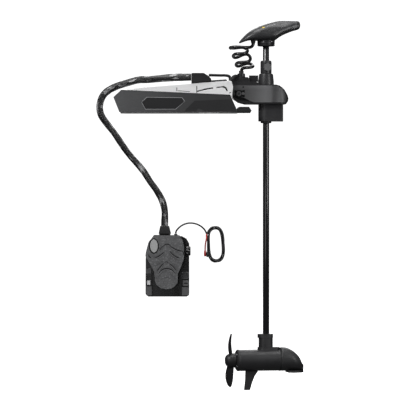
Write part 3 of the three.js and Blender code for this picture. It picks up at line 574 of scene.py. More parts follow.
def inset_poly(pts, d):
    """Outline moved in by d, for the frames and lips that follow an edge."""
    p = np.asarray(pts, float)
    area = 0.5 * np.sum(p[:, 0] * np.roll(p[:, 1], -1) - np.roll(p[:, 0], -1) * p[:, 1])
    sgn = 1 if area > 0 else -1
    out = []
    for i in range(len(p)):
        a, b, c = p[i - 1], p[i], p[(i + 1) % len(p)]
        e1, e2 = (b - a) / np.linalg.norm(b - a), (c - b) / np.linalg.norm(c - b)
        n1, n2 = np.array([-e1[1], e1[0]]) * sgn, np.array([-e2[1], e2[0]]) * sgn
        k = n1 + n2
        out.append(tuple(b + k / max(0.35, k @ k) * 2 * d * 0.5 * 2 / 1.0 * (1.0 if k @ k > 0.35 else 0.5) * 1.0))
    return out


def interp(x, table):
    t = np.asarray(table, float)
    return np.interp(x, t[:, 0], t[:, 1])


def monotone(x, table):
    """Smooth cubic through the table's points without overshoot."""
    t = np.asarray(table, float)
    xs, ys = t[:, 0], t[:, 1]
    h = np.diff(xs); d = np.diff(ys) / h
    m = np.zeros(len(xs)); m[0], m[-1] = d[0], d[-1]
    for i in range(1, len(xs) - 1):
        m[i] = 0 if d[i - 1] * d[i] <= 0 else 2 * d[i - 1] * d[i] / (d[i - 1] + d[i])
    x = np.clip(np.asarray(x, float), xs[0], xs[-1])
    i = np.clip(np.searchsorted(xs, x) - 1, 0, len(h) - 1)
    s = (x - xs[i]) / h[i]
    return ys[i] * (2 * s**3 - 3 * s**2 + 1) + m[i] * h[i] * (s**3 - 2 * s**2 + s) + ys[i + 1] * (3 * s**2 - 2 * s**3) + m[i + 1] * h[i] * (s**3 - s**2)


# ------------------------------------------------------------------ cords
def P(px, py, y=CORD_Y):
    return [(px - 185) * 4.36, y, (112.6 - py) * 4.36]


# braided sleeve over the pedal's cables
sleeve_route = [[27.2, CORD_Y, 153], [14, CORD_Y, 152.9], [0, CORD_Y, 152.5], [-60, CORD_Y, 150], [-120, CORD_Y, 146.5], [-175, CORD_Y, 142.5], [-194.5, CORD_Y, 141.3],
                P(124.3, 84.2), P(112.8, 88.2), P(104.2, 94.6), P(100.2, 104.3), P(101, 113.5), P(106.4, 122.7), P(114, 133), P(130, 155), P(142.5, 170), P(150.2, 181.7),
                P(156.8, 190.4), P(161.6, 198.6), P(163.8, 205.7), P(164.7, 213.4), [-88, CORD_Y, -482], [-88, CORD_Y, -493.6]]
sleeve_centre = catmull(sleeve_route, 24)
SLEEVE_LEN = path_length(sleeve_centre)
centre = resample(sleeve_centre, 760)
s_mm = np.linspace(0, SLEEVE_LEN, len(centre))[:, None]
SIDES = 72
ang = (np.arange(SIDES) * 2 * PI / SIDES)[None, :]
COUNT = 12
A = COUNT * ang / (2 * PI) + s_mm / 8.6
B = COUNT * ang / (2 * PI) - s_mm / 8.6
over = ((np.floor(A) + np.floor(B)) % 2) < 0.5
weave = np.where(over, np.sin(PI * (A % 1)) ** 0.7, np.sin(PI * (B % 1)) ** 0.7)
lobes = 1.15 * np.cos(3 * ang - s_mm / 34 + 0.8 * np.sin(s_mm / 61)) + 0.5 * np.cos(2 * ang + s_mm / 23)
folds = np.zeros_like(lobes)
for k in range(46):                                        # gathered folds, random places with a fixed seed
    at, w, ph = rng.uniform(20, SLEEVE_LEN - 25), rng.uniform(4, 9), rng.uniform(0, 2 * PI)
    folds += rng.uniform(-0.9, 0.75) * np.exp(-((s_mm - at - 14 * np.sin(ang - ph)) / w) ** 2) * (0.5 + 0.5 * np.cos(ang - ph))
waist = monotone(s_mm[:, 0], [[0, 15.0], [40, 15.4], [180, 14.7], [300, 14.2], [420, 14.4], [560, 13.2], [700, 13.2], [860, 13.0], [980, 13.6], [1040, 14.2], [1110, 14.2]])[:, None]
sleeve_r = waist + lobes + folds + 0.95 * weave
sleeve = sweep("braided_sleeve", centre, np.clip(sleeve_r, 9.5, 17.6), SIDES, M["sleeve_braid"], "mount_base", uv=(8.6, COUNT))
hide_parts("cable_sleeve")

# power lead with its hank: arch from the grommet, three turns laid up as one bundle, then the two bare-ended wires
lead_head = [[-40, LEAD_EXIT_Y, -527.2], [-39.8, LEAD_EXIT_Y, -519], [-28, CORD_Y + 6, -503], [-8, CORD_Y + 3, -488.5], [20, CORD_Y, -481], [52, CORD_Y, -486], [78, CORD_Y, -502], [92.5, CORD_Y - 1, -523]]
HX, HZ, HA, HB = 133.5, -573.0, 33.0, 73.0


def oval(theta):
    """Stadium with round ends, anticlockwise seen from -Y when theta falls; theta 0 is the right, pi the left."""
    c, s = math.cos(theta), math.sin(theta)
    n = 2.5
    k = (abs(c) ** n + abs(s) ** n) ** (-1 / n)
    return k * c, k * s


turns, steps = 2.93, 170
hank = []
for i in range(steps + 1):
    f = i / steps
    th = math.radians(168) + f * turns * 2 * PI             # left side, going down and round
    ox, oz = oval(th)
    psi = 4 * (th - math.radians(168)) / 3 + 0.6
    loose = 5.0 + 0.7 * math.sin(2.3 * th)
    rad, dy = loose * math.cos(psi), loose * math.sin(psi)
    k = 1.0
    hank.append([HX + ox * (HA + rad) - 3 * oz, CORD_Y + dy, HZ + oz * (HB + rad)])
hank = np.array(hank)
lead_pts = np.vstack([catmull(np.vstack([lead_head, hank[6:7]]), 10)[:-1], hank[6:]])
lead_pts = smooth_path(resample(lead_pts, 420), 6)
LEAD_LEN = path_length(lead_pts)
lead = sweep("power_lead", lead_pts, 3.6, 16, M["lead_black"], "mount_base")
end = lead_pts[-1]
d_end = lead_pts[-1] - lead_pts[-6]
d_end /= np.linalg.norm(d_end)
red_path = catmull([end - d_end * 6, end + d_end * 7 + [-2.5, -2, 0], [93.2, CORD_Y - 12, -548], [88.6, CORD_Y - 10, -575], [87.6, CORD_Y - 5, -599]], 12)
red_wire = sweep("lead_wire_red", red_path, 3.1, 14, M["terminal_red"], "mount_base")
blk_path = catmull([end - d_end * 6 + [1.6, 0, 0], end + d_end * 7 + [0.6, 3, 0], [98.5, CORD_Y - 9, -556], [97.6, CORD_Y - 9, -588], [97.4, CORD_Y - 8, -604]], 12)
blk_wire = sweep("lead_wire_black", blk_path, 2.0, 14, M["lead_black"], "mount_base")
boot_profile = [[0, 0], [3.4, 0], [4.8, 3], [5.2, 9], [5.2, 18], [4.4, 24], [3.0, 28], [0, 28.2]]
term_red = lathe("terminal_boot_red", [[r, z - 626] for r, z in boot_profile], "z", (87.6, CORD_Y - 5, 0), M["terminal_red"], "mount_base", 32, 60)
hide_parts("lead_terminal_red")
term_blk = lathe("terminal_boot_black", [[r * 0.92, z * 0.9 - 629] for r, z in boot_profile], "z", (97.4, CORD_Y - 8, 0), M["lead_black"], "mount_base", 32, 60)
split = sweep("lead_split_sleeve", resample([end - d_end * 12, end + d_end * 6], 12), np.array([4.7, 5.0, 5.0, 5.0, 5.0, 5.0, 5.0, 5.0, 5.0, 4.9, 4.6, 4.2]), 20, M["lead_black"], "mount_base")
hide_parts("power_lead_run", "power_lead_coil")

# curly cord from the gland to the head, in three runs: the coil, its straight tail and an upright riser, with a cuff
# where the coil ends
COIL_R, CORD_R = 36.5, 7.2
pts = [[246, -8, 179], [246.3, -9.2, 186], [250.5, -18, 193], [261.5, -32, 196.5], [276, -40.5, 197]]
coil_body = []
for i in range(301):
    th = math.radians(300 + 960 * i / 300)
    z = 199 + 37.5 * (math.degrees(th) - 360) / 360 + 8 * math.cos(th) + min(1.0, i / 50) * (7 * math.sin(th) + 6.5 * math.sin(2 * th) * min(1.0, (300 - i) / 40))
    cx = 267 - 37 * (z - 188) / 112
    z -= 9.0 * math.exp(-((math.degrees(th) - 1116) / 50) ** 2)
    coil_body.append([cx + COIL_R * math.cos(th), -8 + COIL_R * math.sin(th), z])
end_pts = [[203, -31, 286], [225, -43, 287], [256, -40, 285], [278, -28, 285.5], [290, -17, 288.5], [297, -11.2, 296.5], [298.7, -9.8, 306], [298.7, -9.8, 326]]
coil_pts = np.vstack([catmull(pts + coil_body[2:3], 8)[:-1], np.array(coil_body[2:])])
coil_pts = np.vstack([coil_pts[:-1], catmull([coil_body[-1]] + end_pts, 10)])
coil_pts = smooth_path(resample(coil_pts, 540), 22)
COIL_LEN = path_length(coil_pts)
# the coil stays with the housing; the straight tail and the last upright run are given no body
lobe = 330 + int(np.argmin(coil_pts[330:, 0]))
rise = lobe + int(np.argmax(coil_pts[lobe:, 2] >= 288.2))
curly_lower = sweep("curly_cord_coil", coil_pts[:lobe + 1], CORD_R, 20, M["cord_black"], "housing")
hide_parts("coil_cord")
curly_tail = sweep("curly_cord_tail", coil_pts[lobe:rise + 1], CORD_R, 20, M["cord_black"], None)
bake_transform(curly_tail)
riser = sweep("curly_cord_riser", coil_pts[rise:], CORD_R, 20, M["cord_black"], None)
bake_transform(riser)
for o, part, mates in ((curly_lower, coil_pts[:lobe + 1], []), (curly_tail, coil_pts[lobe:rise + 1], [riser])):
    round(path_length(part) / 1000, 3)
    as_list(mates)
cj = coil_pts[lobe - 4:lobe + 5]
coil_cuff = sweep("curly_cord_cuff", resample(cj, 14), np.array([7.5, 8.1, 8.3, 8.3, 7.9, 7.9, 8.3, 8.3, 7.9, 7.9, 8.3, 8.3, 8.1, 7.5]), 24, M["black_plastic"], "housing")


# ------------------------------------------------------------------ CAD nodes that stay: finish and softened edges
SLOT_NODES = {
    "aluminium_bright": ["base_plate", "rail_far", "rail_near", "lift_arm", "front_bearing_plate"],
    "cover_charcoal": ["side_cover_far", "side_cover_near"],
    "black_plastic": ["bow_rest", "cable_clamp", "cable_conduit", "release_lever", "steering_housing", "housing_top_cover", "cord_gland", "head_end_cap", "speed_knob", "brush_holder"],
    "black_rubber": ["pedal_boot", "pedal_sole_plate", "shaft_seal"],
    "steel": ["rear_pivot_pin", "lift_assist_spring", "foot_pivot_pin", "tilt_pin", "steering_motor", "rear_bearing", "drive_pin", "prop_nut"],
    "sleeve_braid": ["cable_sleeve"], "pedal_gloss": ["pedal_base"], "pedal_frame": ["footplate", "prop_button"], "pedal_pad": ["foot_pad"],
    "lead_black": ["power_lead_run", "power_lead_coil"], "terminal_red": ["lead_terminal_red"],
    "black_satin": ["gearbox_cover", "drive_sleeve", "depth_collar"], "housing_grey": ["housing_panel_far", "housing_panel_near", "depth_knob"],
    "bearing_plastic": ["sleeve_bushing"], "cord_black": ["coil_cord"], "gear_brass": ["steer_gear", "steer_pinion"], "shaft_gloss": ["shaft_tube"],
    "head_satin": ["head_base", "head_cover"], "circuit_green": ["head_board"], "motor_satin": ["tower", "nose_cone", "skeg"],
    "motor_paint": ["motor_tube", "rear_end_cap"], "magnet": ["field_magnets"], "armature_steel": ["armature"], "prop_black": ["propeller"],
    "button_grey": ["momentary_button"], "switch_silver": ["run_mode_slider"],
}
EDGE = {"base_plate": 0.8, "side_cover_near": 1.2, "side_cover_far": 1.2, "housing_panel_near": 1.0, "housing_panel_far": 1.0, "steering_housing": 1.6, "housing_top_cover": 2.0, "gearbox_cover": 1.2,
        "cord_gland": 2.0, "bow_rest": 2.0, "cable_clamp": 1.8, "footplate": 3.0, "foot_pad": 0.8, "skeg": 3.0, "tower": 1.6, "motor_tube": 0.6, "pedal_base": 1.2, "momentary_button": 1.4,
        "drive_sleeve": 1.0, "depth_collar": 1.2, "depth_knob": 1.0, "speed_knob": 0.7, "rail_near": 0.8, "rail_far": 0.8, "tilt_pin": 1.2, "pedal_boot": 2.5, "lift_arm": 1.0, "release_lever": 1.5}
for slot, members in SLOT_NODES.items():
    for n in members:
        o = NODES[n]
        o.data.materials.clear()
        o.data.materials.append(M[slot])
        if o.hide_render:
            continue
        if "custom_normal" in o.data.attributes:
            o.data.attributes.remove(o.data.attributes["custom_normal"])
        o.data.polygons.foreach_set("use_smooth", [True] * len(o.data.polygons))
        w = o.modifiers.new("join", "WELD")
        w.merge_threshold = 2e-6
        d = o.modifiers.new("flats", "DECIMATE")
        d.decimate_type = "DISSOLVE"
        d.angle_limit = math.radians(0.6)
        soften(o, EDGE.get(n, 0.5), 3, 34)

# ------------------------------------------------------------------ control head
TOP = [[236, 305.5], [238, 311], [246, 322], [256, 333], [272, 349], [296, 366], [330, 381], [370, 394], [405, 402], [430, 404.5], [486, 404.5], [494, 403.8], [499, 401], [501.3, 395]]
BOT = [[236, 305], [240, 304], [252, 308], [270, 314], [286, 317], [300, 315.5], [384, 315.5], [394, 319], [406, 328], [424, 339], [448, 350], [470, 358.5], [486, 363], [495, 366.5], [499.5, 371], [501.3, 378]]
WIDE = [[236, 9], [240, 16], [250, 24.5], [262, 32], [280, 40], [300, 46.5], [325, 50.5], [350, 52], [375, 51], [400, 47.5], [425, 42.5], [450, 36], [470, 30], [490, 25.5], [498, 23], [501.3, 20]]
SPLIT = [[200, 318], [300, 330], [420, 352], [520, 386]]
ROOF = [[290, 60], [334, 58], [356, 49], [376, 38], [396, 23], [404, 15], [408, 11]]


def half_width(x, z):
    zt, zb, w = float(monotone(x, TOP)), float(monotone(x, BOT)), float(monotone(x, WIDE))
    zm = zb + 0.36 * (zt - zb)
    h = (zt - zm) if z > zm else (zm - zb)
    t = min(1.0, abs(z - zm) / max(h, 1e-6))
    e = 2.25 if z > zm else 2.7
    y = w * max(0.0, 1 - t**e) ** (1 / e)
    r = float(interp(z, ROOF))
    k = 5.0
    q = min(1.0, max(0.0, 0.5 + 0.5 * (r - y) / k))
    return y * q + r * (1 - q) - k * q * (1 - q) * (1 if y > 4 else 0)


def head_rings(xs, low, high, nz=20, grow=0.0):
    out = []
    for x in xs:
        z0, z1 = low(x), high(x)
        side = []
        for i in range(nz + 1):
            a = i / nz
            z = z0 + (z1 - z0) * (0.5 - 0.5 * math.cos(PI * a))
            side.append((max(0.0, half_width(x, z)) + grow, z))
        out.append([[hx(x), y, z] for y, z in side] + [[hx(x), -y, z] for y, z in side[::-1]])
    return out


def zt(x): return float(monotone(x, TOP))
def zb(x): return float(monotone(x, BOT))
def zs(x): return float(interp(x, SPLIT))


xs_base = list(np.r_[np.linspace(236, 262, 14), np.linspace(265, 485.6, 66)])
base_rings = head_rings(xs_base, zb, lambda x: max(zb(x) + 0.05, min(zt(x), zs(x))))
head_base = loft("head_base_shell", base_rings, M["head_satin"], "shaft", 46, move=yaw)
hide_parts("head_base")
soften(head_base, 0.8, 2, 46)
x0 = next(x for x in np.linspace(240, 270, 301) if zt(x) > zs(x) + 0.5)
xs_cover = list(np.r_[np.linspace(x0, x0 + 16, 12), np.linspace(x0 + 20, 485.6, 66)])
cover_rings = head_rings(xs_cover, lambda x: max(zb(x), zs(x) + 0.45), zt, 26)
head_cover = loft("head_cover_shell", cover_rings, M["head_satin"], "shaft", 46, move=yaw)
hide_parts("head_cover")
soften(head_cover, 0.8, 2, 46)
xs_cap = list(np.r_[np.linspace(486.1, 494, 7), np.linspace(495.5, 501.2, 8)])
head_cap = loft("head_end_cap_shell", head_rings(xs_cap, zb, zt, 22, 0.5), M["black_plastic"], "shaft", 40, move=yaw)
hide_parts("head_end_cap")
soften(head_cap, 1.4, 3, 40)
# ribbed collar under the head, with its cord boot
collar_profile = [[14.4, 292], [34.5, 292], [37.4, 293.6], [38.4, 296.4], [38.4, 299], [37.4, 300], [37.4, 302], [38.4, 303], [38.6, 308], [37.8, 309.6], [37.8, 311.5], [38.8, 313], [38.8, 317.5], [14.4, 317.5]]
head_collar = lathe("head_collar", collar_profile, "z", (0, 0, 0), M["black_plastic"], "shaft", 72, 40, yaw)
head_boot = lathe("head_cord_boot", [[0, 299], [6.6, 299], [8.2, 300.4], [8.4, 303.5], [7.6, 304.2], [7.6, 305.6], [9.4, 306.4], [10.4, 309], [10.6, 322], [0, 322]], "z", (hx(298), 0, 0), M["black_plastic"], "shaft", 40, 40, yaw)
for i, a in enumerate((-118, -62)):
    stud = lathe(f"head_collar_screw_{i + 1}", [[0, -41.2], [1.6, -41.2], [2.7, -40.4], [2.9, -38.6], [2.9, -36], [0, -36]], "y", (0, 0, 311), M["steel"], "shaft", 20, 40,
                 lambda v, a=a: yaw(np.stack([v[:, 0] * math.cos(math.radians(a + 90)) - v[:, 1] * math.sin(math.radians(a + 90)), v[:, 0] * math.sin(math.radians(a + 90)) + v[:, 1] * math.cos(math.radians(a + 90)), v[:, 2]], 1)))


def roof_patch(name, x0, x1, z_low, mat, lift=0.55, nx=30, nz=12, taper=0.0):
    """A thin panel lying on the head's roof, from one flank over the ridge to the other."""
    rings = []
    for x in np.linspace(x0, x1, nx):
        f = (x - x0) / (x1 - x0)
        zl, zh = z_low(x), zt(x)
        right = []
        for i in range(nz + 1):
            a = i / nz
            z = zl + (zh - zl) * math.sin(a * PI / 2)
            right.append((half_width(x, z), z))
        arc = [(y, z) for y, z in right[:-1]] + [(0.0, zh)] + [(-y, z) for y, z in right[:-1][::-1]]
        arc = np.array(arc)
        t = np.gradient(arc, axis=0)
        nrm = np.stack([-t[:, 1], t[:, 0]], 1) * -1
        nrm /= np.maximum(np.linalg.norm(nrm, axis=1)[:, None], 1e-9)
        out, inn = arc + nrm * lift, arc - nrm * 0.8
        ring = np.vstack([out, inn[::-1]])
        rings.append([[hx(x), y, z] for y, z in ring])
    return loft(name, rings, mat, "shaft", 40, move=yaw)


frame_panel = roof_patch("head_panel_frame", 319, 417, lambda x: 349.5 + (x - 319) * 0.215, M["black_satin"], 0.5)
gloss_panel = roof_patch("head_top_panel", 323, 412.5, lambda x: 353.5 + (x - 323) * 0.215, PANEL_GLOSS, 0.9)
# painted highlight: a lighter grey strip at the panel's right end
panel_highlight_strip = roof_patch("head_panel_highlight_strip", 413.0, 414.4, lambda x: 353.5 + (x - 323) * 0.215, RING_GREY, 1.0, 4)
soften(frame_panel, 0.3, 2, 40)
soften(gloss_panel, 0.3, 2, 40)

# small plain indicator on the near flank of the panel
zc = 371.0
yy = half_width(335, zc)
ind = lathe("head_indicator", [[0, -2.2], [3.2, -2.2], [4.6, -1.6], [5.0, -0.4], [5.0, 2.0], [0, 2.0]], "y", (0, 0, 0), YELLOW, None, 28, 40)
ind.matrix_world = Matrix.Translation(Vector((yaw([hx(336), -yy + 0.2, zc]) * 0.001).tolist())) @ Matrix.Rotation(YAW, 4, "Z") @ Matrix.Rotation(math.radians(-38), 4, "X") @ Matrix.Diagonal((1.5, 1, 0.8, 1))
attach(ind, "shaft")

# four plain level bars beside the panel's lower edge
for i, xx in enumerate((352, 363, 374, 385)):
    zz = 376.5 + 0.24 * (xx - 352)
    wy = half_width(xx, zz)
    bar = lathe(f"head_level_bar_{i + 1}", [[0, -1.4], [3.4, -1.4], [3.8, -0.6], [3.8, 1.4], [0, 1.4]], "y", (0, 0, 0), RIM_SILVER, None, 24, 40)
    bar.matrix_world = Matrix.Translation(Vector((yaw([hx(xx), -wy + 0.1, zz]) * 0.001).tolist())) @ Matrix.Rotation(YAW, 4, "Z") @ Matrix.Rotation(math.radians(-44), 4, "X") @ Matrix.Diagonal((1.15, 1, 0.42, 1))
    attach(bar, "shaft")

# the shaft's composite tube
sz = sorted(((NODES["shaft_tube"].matrix_world @ Vector(c)).z * 1000 for c in NODES["shaft_tube"].bound_box))
shaft = lathe("shaft_tube_shell", [[11.4, sz[0]], [13.7, sz[0]], [14.0, sz[0] + 0.4], [14.0, sz[-1] - 0.4], [13.7, sz[-1]], [11.4, sz[-1]]], "z", (0, 0, 0), M["shaft_gloss"], "shaft", 72, 40, yaw)
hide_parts("shaft_tube")

# ------------------------------------------------------------------ lower unit
NOSE_TOP = [[61.6, -1029.8], [64.5, -1026.6], [70, -1025.6], [83.8, -1026.4], [97, -1030], [108.1, -1035.3], [118, -1041], [126.4, -1047.3], [135, -1055], [142.7, -1063.5], [148.5, -1072], [152.8, -1081], [159.2, -1099], [164, -1117], [166.6, -1127]]
NOSE_W = [[61.6, 47.5], [66, 50], [90, 50], [117.3, 49.5], [130, 46.5], [139.6, 42], [149, 35], [156, 27.5], [161, 20], [164.5, 13], [166.6, 7]]
rings = []
for x in np.r_[np.linspace(61.6, 70, 8), np.linspace(74, 140, 24), np.linspace(142, 166.6, 22)]:
    t, w = float(monotone(x, NOSE_TOP)), float(monotone(x, NOSE_W))
    b = -1129.5
    mid = max(-1084.0 - 0.30 * max(0, x - 110), b + 0.30 * (t - b)) if x > 110 else -1084.0
    ring = []
    for j in range(64):
        a = 2 * PI * j / 64
        c, s = math.cos(a), math.sin(a)
        n = 2.12 if s > 0 else 2.3
        k = (abs(c) ** n + abs(s) ** n) ** (-1 / n)
        ring.append([x, w * k * c, mid + ((t - mid) if s > 0 else (mid - b)) * k * s])
    rings.append(ring)
nose = loft("nose_cone_shell", rings, M["motor_satin"], "shaft", 44, move=lambda v: yaw(v))
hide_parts("nose_cone")
soften(nose, 0.9, 2, 44)
skirt_plan = [(93, -38), (93, 38), (110, 45.5), (128, 45), (143, 39), (155, 30), (163, 17), (166.8, 6), (166.8, -6), (163, -17), (155, -30), (143, -39), (128, -45), (110, -45.5)]
skirt = prism("nose_skirt", skirt_plan, "z", -1136.6, -1127.5, M["motor_satin"], "shaft", 1.6, 3, move=yaw)
seam = lathe("nose_joint_ring", [[44, 57.6], [48.2, 57.6], [48.6, 58.6], [48.6, 60.6], [48.2, 61.4], [44, 61.4]], "x", (0, 0, MOTOR_Z), M["black_rubber"], "shaft", 72, 40, yaw)
rear_rim = lathe("rear_cap_rim", [[46.0, -127.6], [47.5, -127.4], [47.9, -126.2], [47.9, -122.6], [47.5, -121.6], [46.0, -121.4]], "x", (0, 0, MOTOR_Z), M["motor_paint"], "shaft", 72, 40, yaw)
for i, a in enumerate((45, 135, 225, 315)):
    ca, sa = 39 * math.cos(math.radians(a)), 39 * math.sin(math.radians(a))
    lathe(f"rear_cap_screw_{i + 1}", [[0, -137.0], [2.2, -137.0], [3.1, -136.4], [3.3, -135.2], [3.3, -133], [0, -133]], "x", (0, ca * 0.93, MOTOR_Z + sa * 0.93), M["steel"], "shaft", 20, 40, yaw)


def blade_mesh(sign, nu=30, nv=18):
    PR = 117.0
    grid = []
    for side in (0.5, -0.5):
        g = []
        for i in range(nu + 1):
            t = i / nu
            r = 22 + (PR - 22) * t
            chord = 40 + 26 * math.sin(PI * t / 1.1) if t < 0.55 else 66 * math.sqrt(max(0.035, 1 - ((t - 0.55) / 0.46) ** 2))
            row = []
            for j in range(nv + 1):
                q = -0.5 + j / nv
                c = q * chord - 12 * t * t
                thick = (5.2 - 2.2 * t) * max(0.0, 1 - (2 * q) ** 2) ** 0.75 + 0.9
                pitch = math.radians(27 - 11 * t)
                camber = 4 * (1 - (2 * q) ** 2)
                nn = side * thick + camber
                x = nn * math.cos(pitch) + c * math.sin(pitch)
                y = -nn * math.sin(pitch) + c * math.cos(pitch)
                wrap = math.sqrt(max(r * r - y * y * (1 - t), 100))
                row.append([x - 6 * math.sin(PI * t), sign * y, sign * wrap])
            g.append(row)
        grid.append(g)
    front, back = np.array(grid[0]), np.array(grid[1])
    rings = []
    for i in range(nu + 1):
        rings.append(np.vstack([front[i], back[i][::-1]]))
    return np.array(rings)


blade_parts = []
for sign, nm in ((1, "upper"), (-1, "lower")):
    r = blade_mesh(sign)
    r[..., 0] += -156
    r[..., 2] += MOTOR_Z
    blade = loft(f"propeller_blade_{nm}", r, M["prop_black"], "prop", 60, move=yaw)
    soften(blade, 0.35, 2, 60)
    blade_parts.append(blade)
hub = lathe("propeller_hub", [[5.4, -178], [10.6, -181.4], [13, -181.8], [18.5, -180], [23.5, -176], [27.4, -170], [29.6, -162], [31, -154], [31.8, -147], [32, -140], [31.6, -137.2], [30.4, -136.2], [5.4, -136.2]], "x", (0, 0, MOTOR_Z), M["prop_black"], "prop", 64, 40, yaw)
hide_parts("propeller")

# ------------------------------------------------------------------ small fittings on the mount, the housing and the pedal
def plates(name, polys, a, b, mat, body, width=0.0, move=None, axis="y"):
    """Several flat outlines pulled from a to b, as one piece."""
    me = bpy.data.meshes.new(name)
    bm = bmesh.new()
    for poly in polys:
        at = (lambda u, v, h: (u, h, v)) if axis == "y" else (lambda u, v, h: (u, v, h))
        base = [bm.verts.new([c * 0.001 for c in at(u, v, a)]) for u, v in poly]
        top = [bm.verts.new([c * 0.001 for c in at(u, v, b)]) for u, v in poly]
        bm.faces.new(base)
        bm.faces.new(top[::-1])
        k = len(poly)
        for i in range(k):
            bm.faces.new((base[i], base[(i + 1) % k], top[(i + 1) % k], top[i]))
    bmesh.ops.recalc_face_normals(bm, faces=bm.faces)
    bm.to_mesh(me)
    bm.free()
    if move is not None:
        co = np.array([v.co for v in me.vertices]) * 1000
        me.vertices.foreach_set("co", (move(co) * 0.001).ravel())
    o = bpy.data.objects.new(name, me)
    scene.collection.objects.link(o)
    me.materials.append(mat)
    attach(o, body)
    if width:
        me.polygons.foreach_set("use_smooth", [True] * len(me.polygons))
        soften(o, width, 2)
    return o


def ribbon(pts, wide, shift=(0, 0)):
    """Outline of a strip along a curve in X and Z, pointed at both ends."""
    p = catmull(np.c_[np.array(pts, float), np.zeros(len(pts))], 8)[:, :2] + np.array(shift, float)
    t = np.gradient(p, axis=0)
    t /= np.linalg.norm(t, axis=1)[:, None]
    nrm = np.stack([-t[:, 1], t[:, 0]], 1)
    w = wide * 0.5 * np.sin(np.linspace(0.08, PI - 0.08, len(p)))[:, None] ** 0.6
    return [tuple(q) for q in np.vstack([p + nrm * w, (p - nrm * w)[::-1]])]


def taper_of(side):
    def f(v):
        v = v.copy()
        v[:, 1] -= side * 2.6 * np.clip((v[:, 0] - 58) / 174, 0, 1)
        return v
    return f


# painted shade: a near-black plate over the facet of each side cover
facet = [(6, 14), (42, 50), (202, 56), (224, 4), (-2, 4)]
badge = [(-189, 44), (-166, 66), (-12, 64), (0, 48), (-40, 12), (-172, 12)]
bc = np.mean(np.array(badge), axis=0)
badge_in = [tuple(bc + (np.array(q) - bc) * np.array([0.982, 0.925])) for q in badge]
for side, nm in ((-1, "near"), (1, "far")):
    plates(f"side_cover_facet_shade_{nm}", [facet], side * 103.2, side * 104.55, FACET_SHADE_AND_BADGE, "mount_base", 0.0, taper_of(side))
    plates(f"cover_badge_rim_{nm}", [badge], side * 103.2, side * 104.45, RIM_SILVER, "mount_base", 0.3)
    plates(f"cover_badge_{nm}", [badge_in], side * 103.2, side * 104.75, FACET_SHADE_AND_BADGE, "mount_base", 0.3)
    plates(f"cover_top_bead_{nm}", [[(-276, 97.2), (196, 76.4), (197, 73.6), (-276.6, 94.4)]], side * 103.0, side * 104.35, BLACK_AND_SHADE, "mount_base", 0.0, taper_of(side))
    # painted shade: near-black plates behind the slots of the rail
    s1 = [[52, 88], [54, 93], [88, 103], [122, 108], [123, 103], [88, 97]]
    s2 = [[136, 105], [138, 110], [168, 114], [180, 108], [187, 92], [182, 91], [174, 104], [164, 108]]
    plates(f"rail_slot_shade_{nm}", [[(x, z) for x, z in [[48, 86], [52, 96], [88, 106], [126, 111], [127, 101], [88, 94]]],
                                     [(x, z) for x, z in [[133, 103], [135, 113], [168, 117], [183, 110], [190, 90], [180, 88], [171, 102], [164, 105]]]],
           side * 92.3, side * 93.8, BLACK_AND_SHADE, "mount_base")
    plates(f"rail_rib_lines_{nm}", [[(-36.8, 92), (-33.6, 92), (-33.6, 107.5), (-36.8, 107)], [(49.8, 84), (53, 84), (53, 115), (49.8, 114.6)], [(-31, 92.4), (22, 88.4), (22, 90.4), (-31, 94.6)],
                                   [(193, 81), (200, 85), (200, 88), (193, 86)]], side * 97.6, side * 98.3, BLACK_AND_SHADE, "mount_base")
    # painted shade: a near-black plate in the recess round the tilt pin; a near-black plate on the corner under it
    recess = [(216, 99), (224, 95.5), (236, 98), (248, 95.5), (259.5, 99), (260.5, 89), (257, 82), (261, 71), (258, 65.5), (247, 69), (236, 66.4), (225, 69), (216.5, 66.6), (214.6, 74), (217.4, 82), (214.6, 90)]
    prism(f"tilt_recess_shade_{nm}", recess, "y", side * 62.6, side * 63.95, BLACK_AND_SHADE, "housing", 0.3, 2, holes=[ring_pts(235, 82, 12.4, 28)])
    plates(f"housing_corner_{nm}", [[(212.0, 72), (246, 67), (262, 62.5), (291, 45.2), (299.8, 44.8), (268.4, 50.8), (236.3, 54.8), (214.2, 66.2)]], side * 62.6, side * 63.85, BLACK_AND_SHADE, "housing")
    lathe(f"tilt_pin_cap_{nm}", [[0, 66.3], [11.6, 66.3], [11.9, 66.9], [11.4, 67.5], [8.6, 67.7], [8.2, 66.9], [6.2, 66.9], [5.8, 67.9], [0, 68.1]][::1], "y", (235, 0, 82), M["black_plastic"], "housing", 32, 30,
          (lambda v: v) if side > 0 else (lambda v: v * np.array([1, -1, 1])))
    lathe(f"tilt_pin_ring_{nm}", [[7.2, 66.6], [8.5, 66.6], [8.5, 67.9], [7.9, 68.2], [7.2, 67.9]], "y", (235, 0, 82), RING_GREY, "housing", 32, 30, (lambda v: v) if side > 0 else (lambda v: v * np.array([1, -1, 1])))
    lathe(f"pivot_screw_{nm}", [[0, 63.2], [5.6, 63.2], [5.9, 64.2], [5.3, 64.9], [3.4, 65.1], [3.0, 64.2], [0, 64.2]], "y", (253.2, 0, 82.4), RING_GREY, "housing", 28, 30, (lambda v: v) if side > 0 else (lambda v: v * np.array([1, -1, 1])))
    lathe(f"panel_screw_{nm}", [[0, 63.2], [2.8, 63.2], [3.0, 64.1], [2.4, 64.6], [0, 64.7]], "y", (254, 0, 111), BLACK_AND_SHADE, "housing", 20, 30, (lambda v: v) if side > 0 else (lambda v: v * np.array([1, -1, 1])))

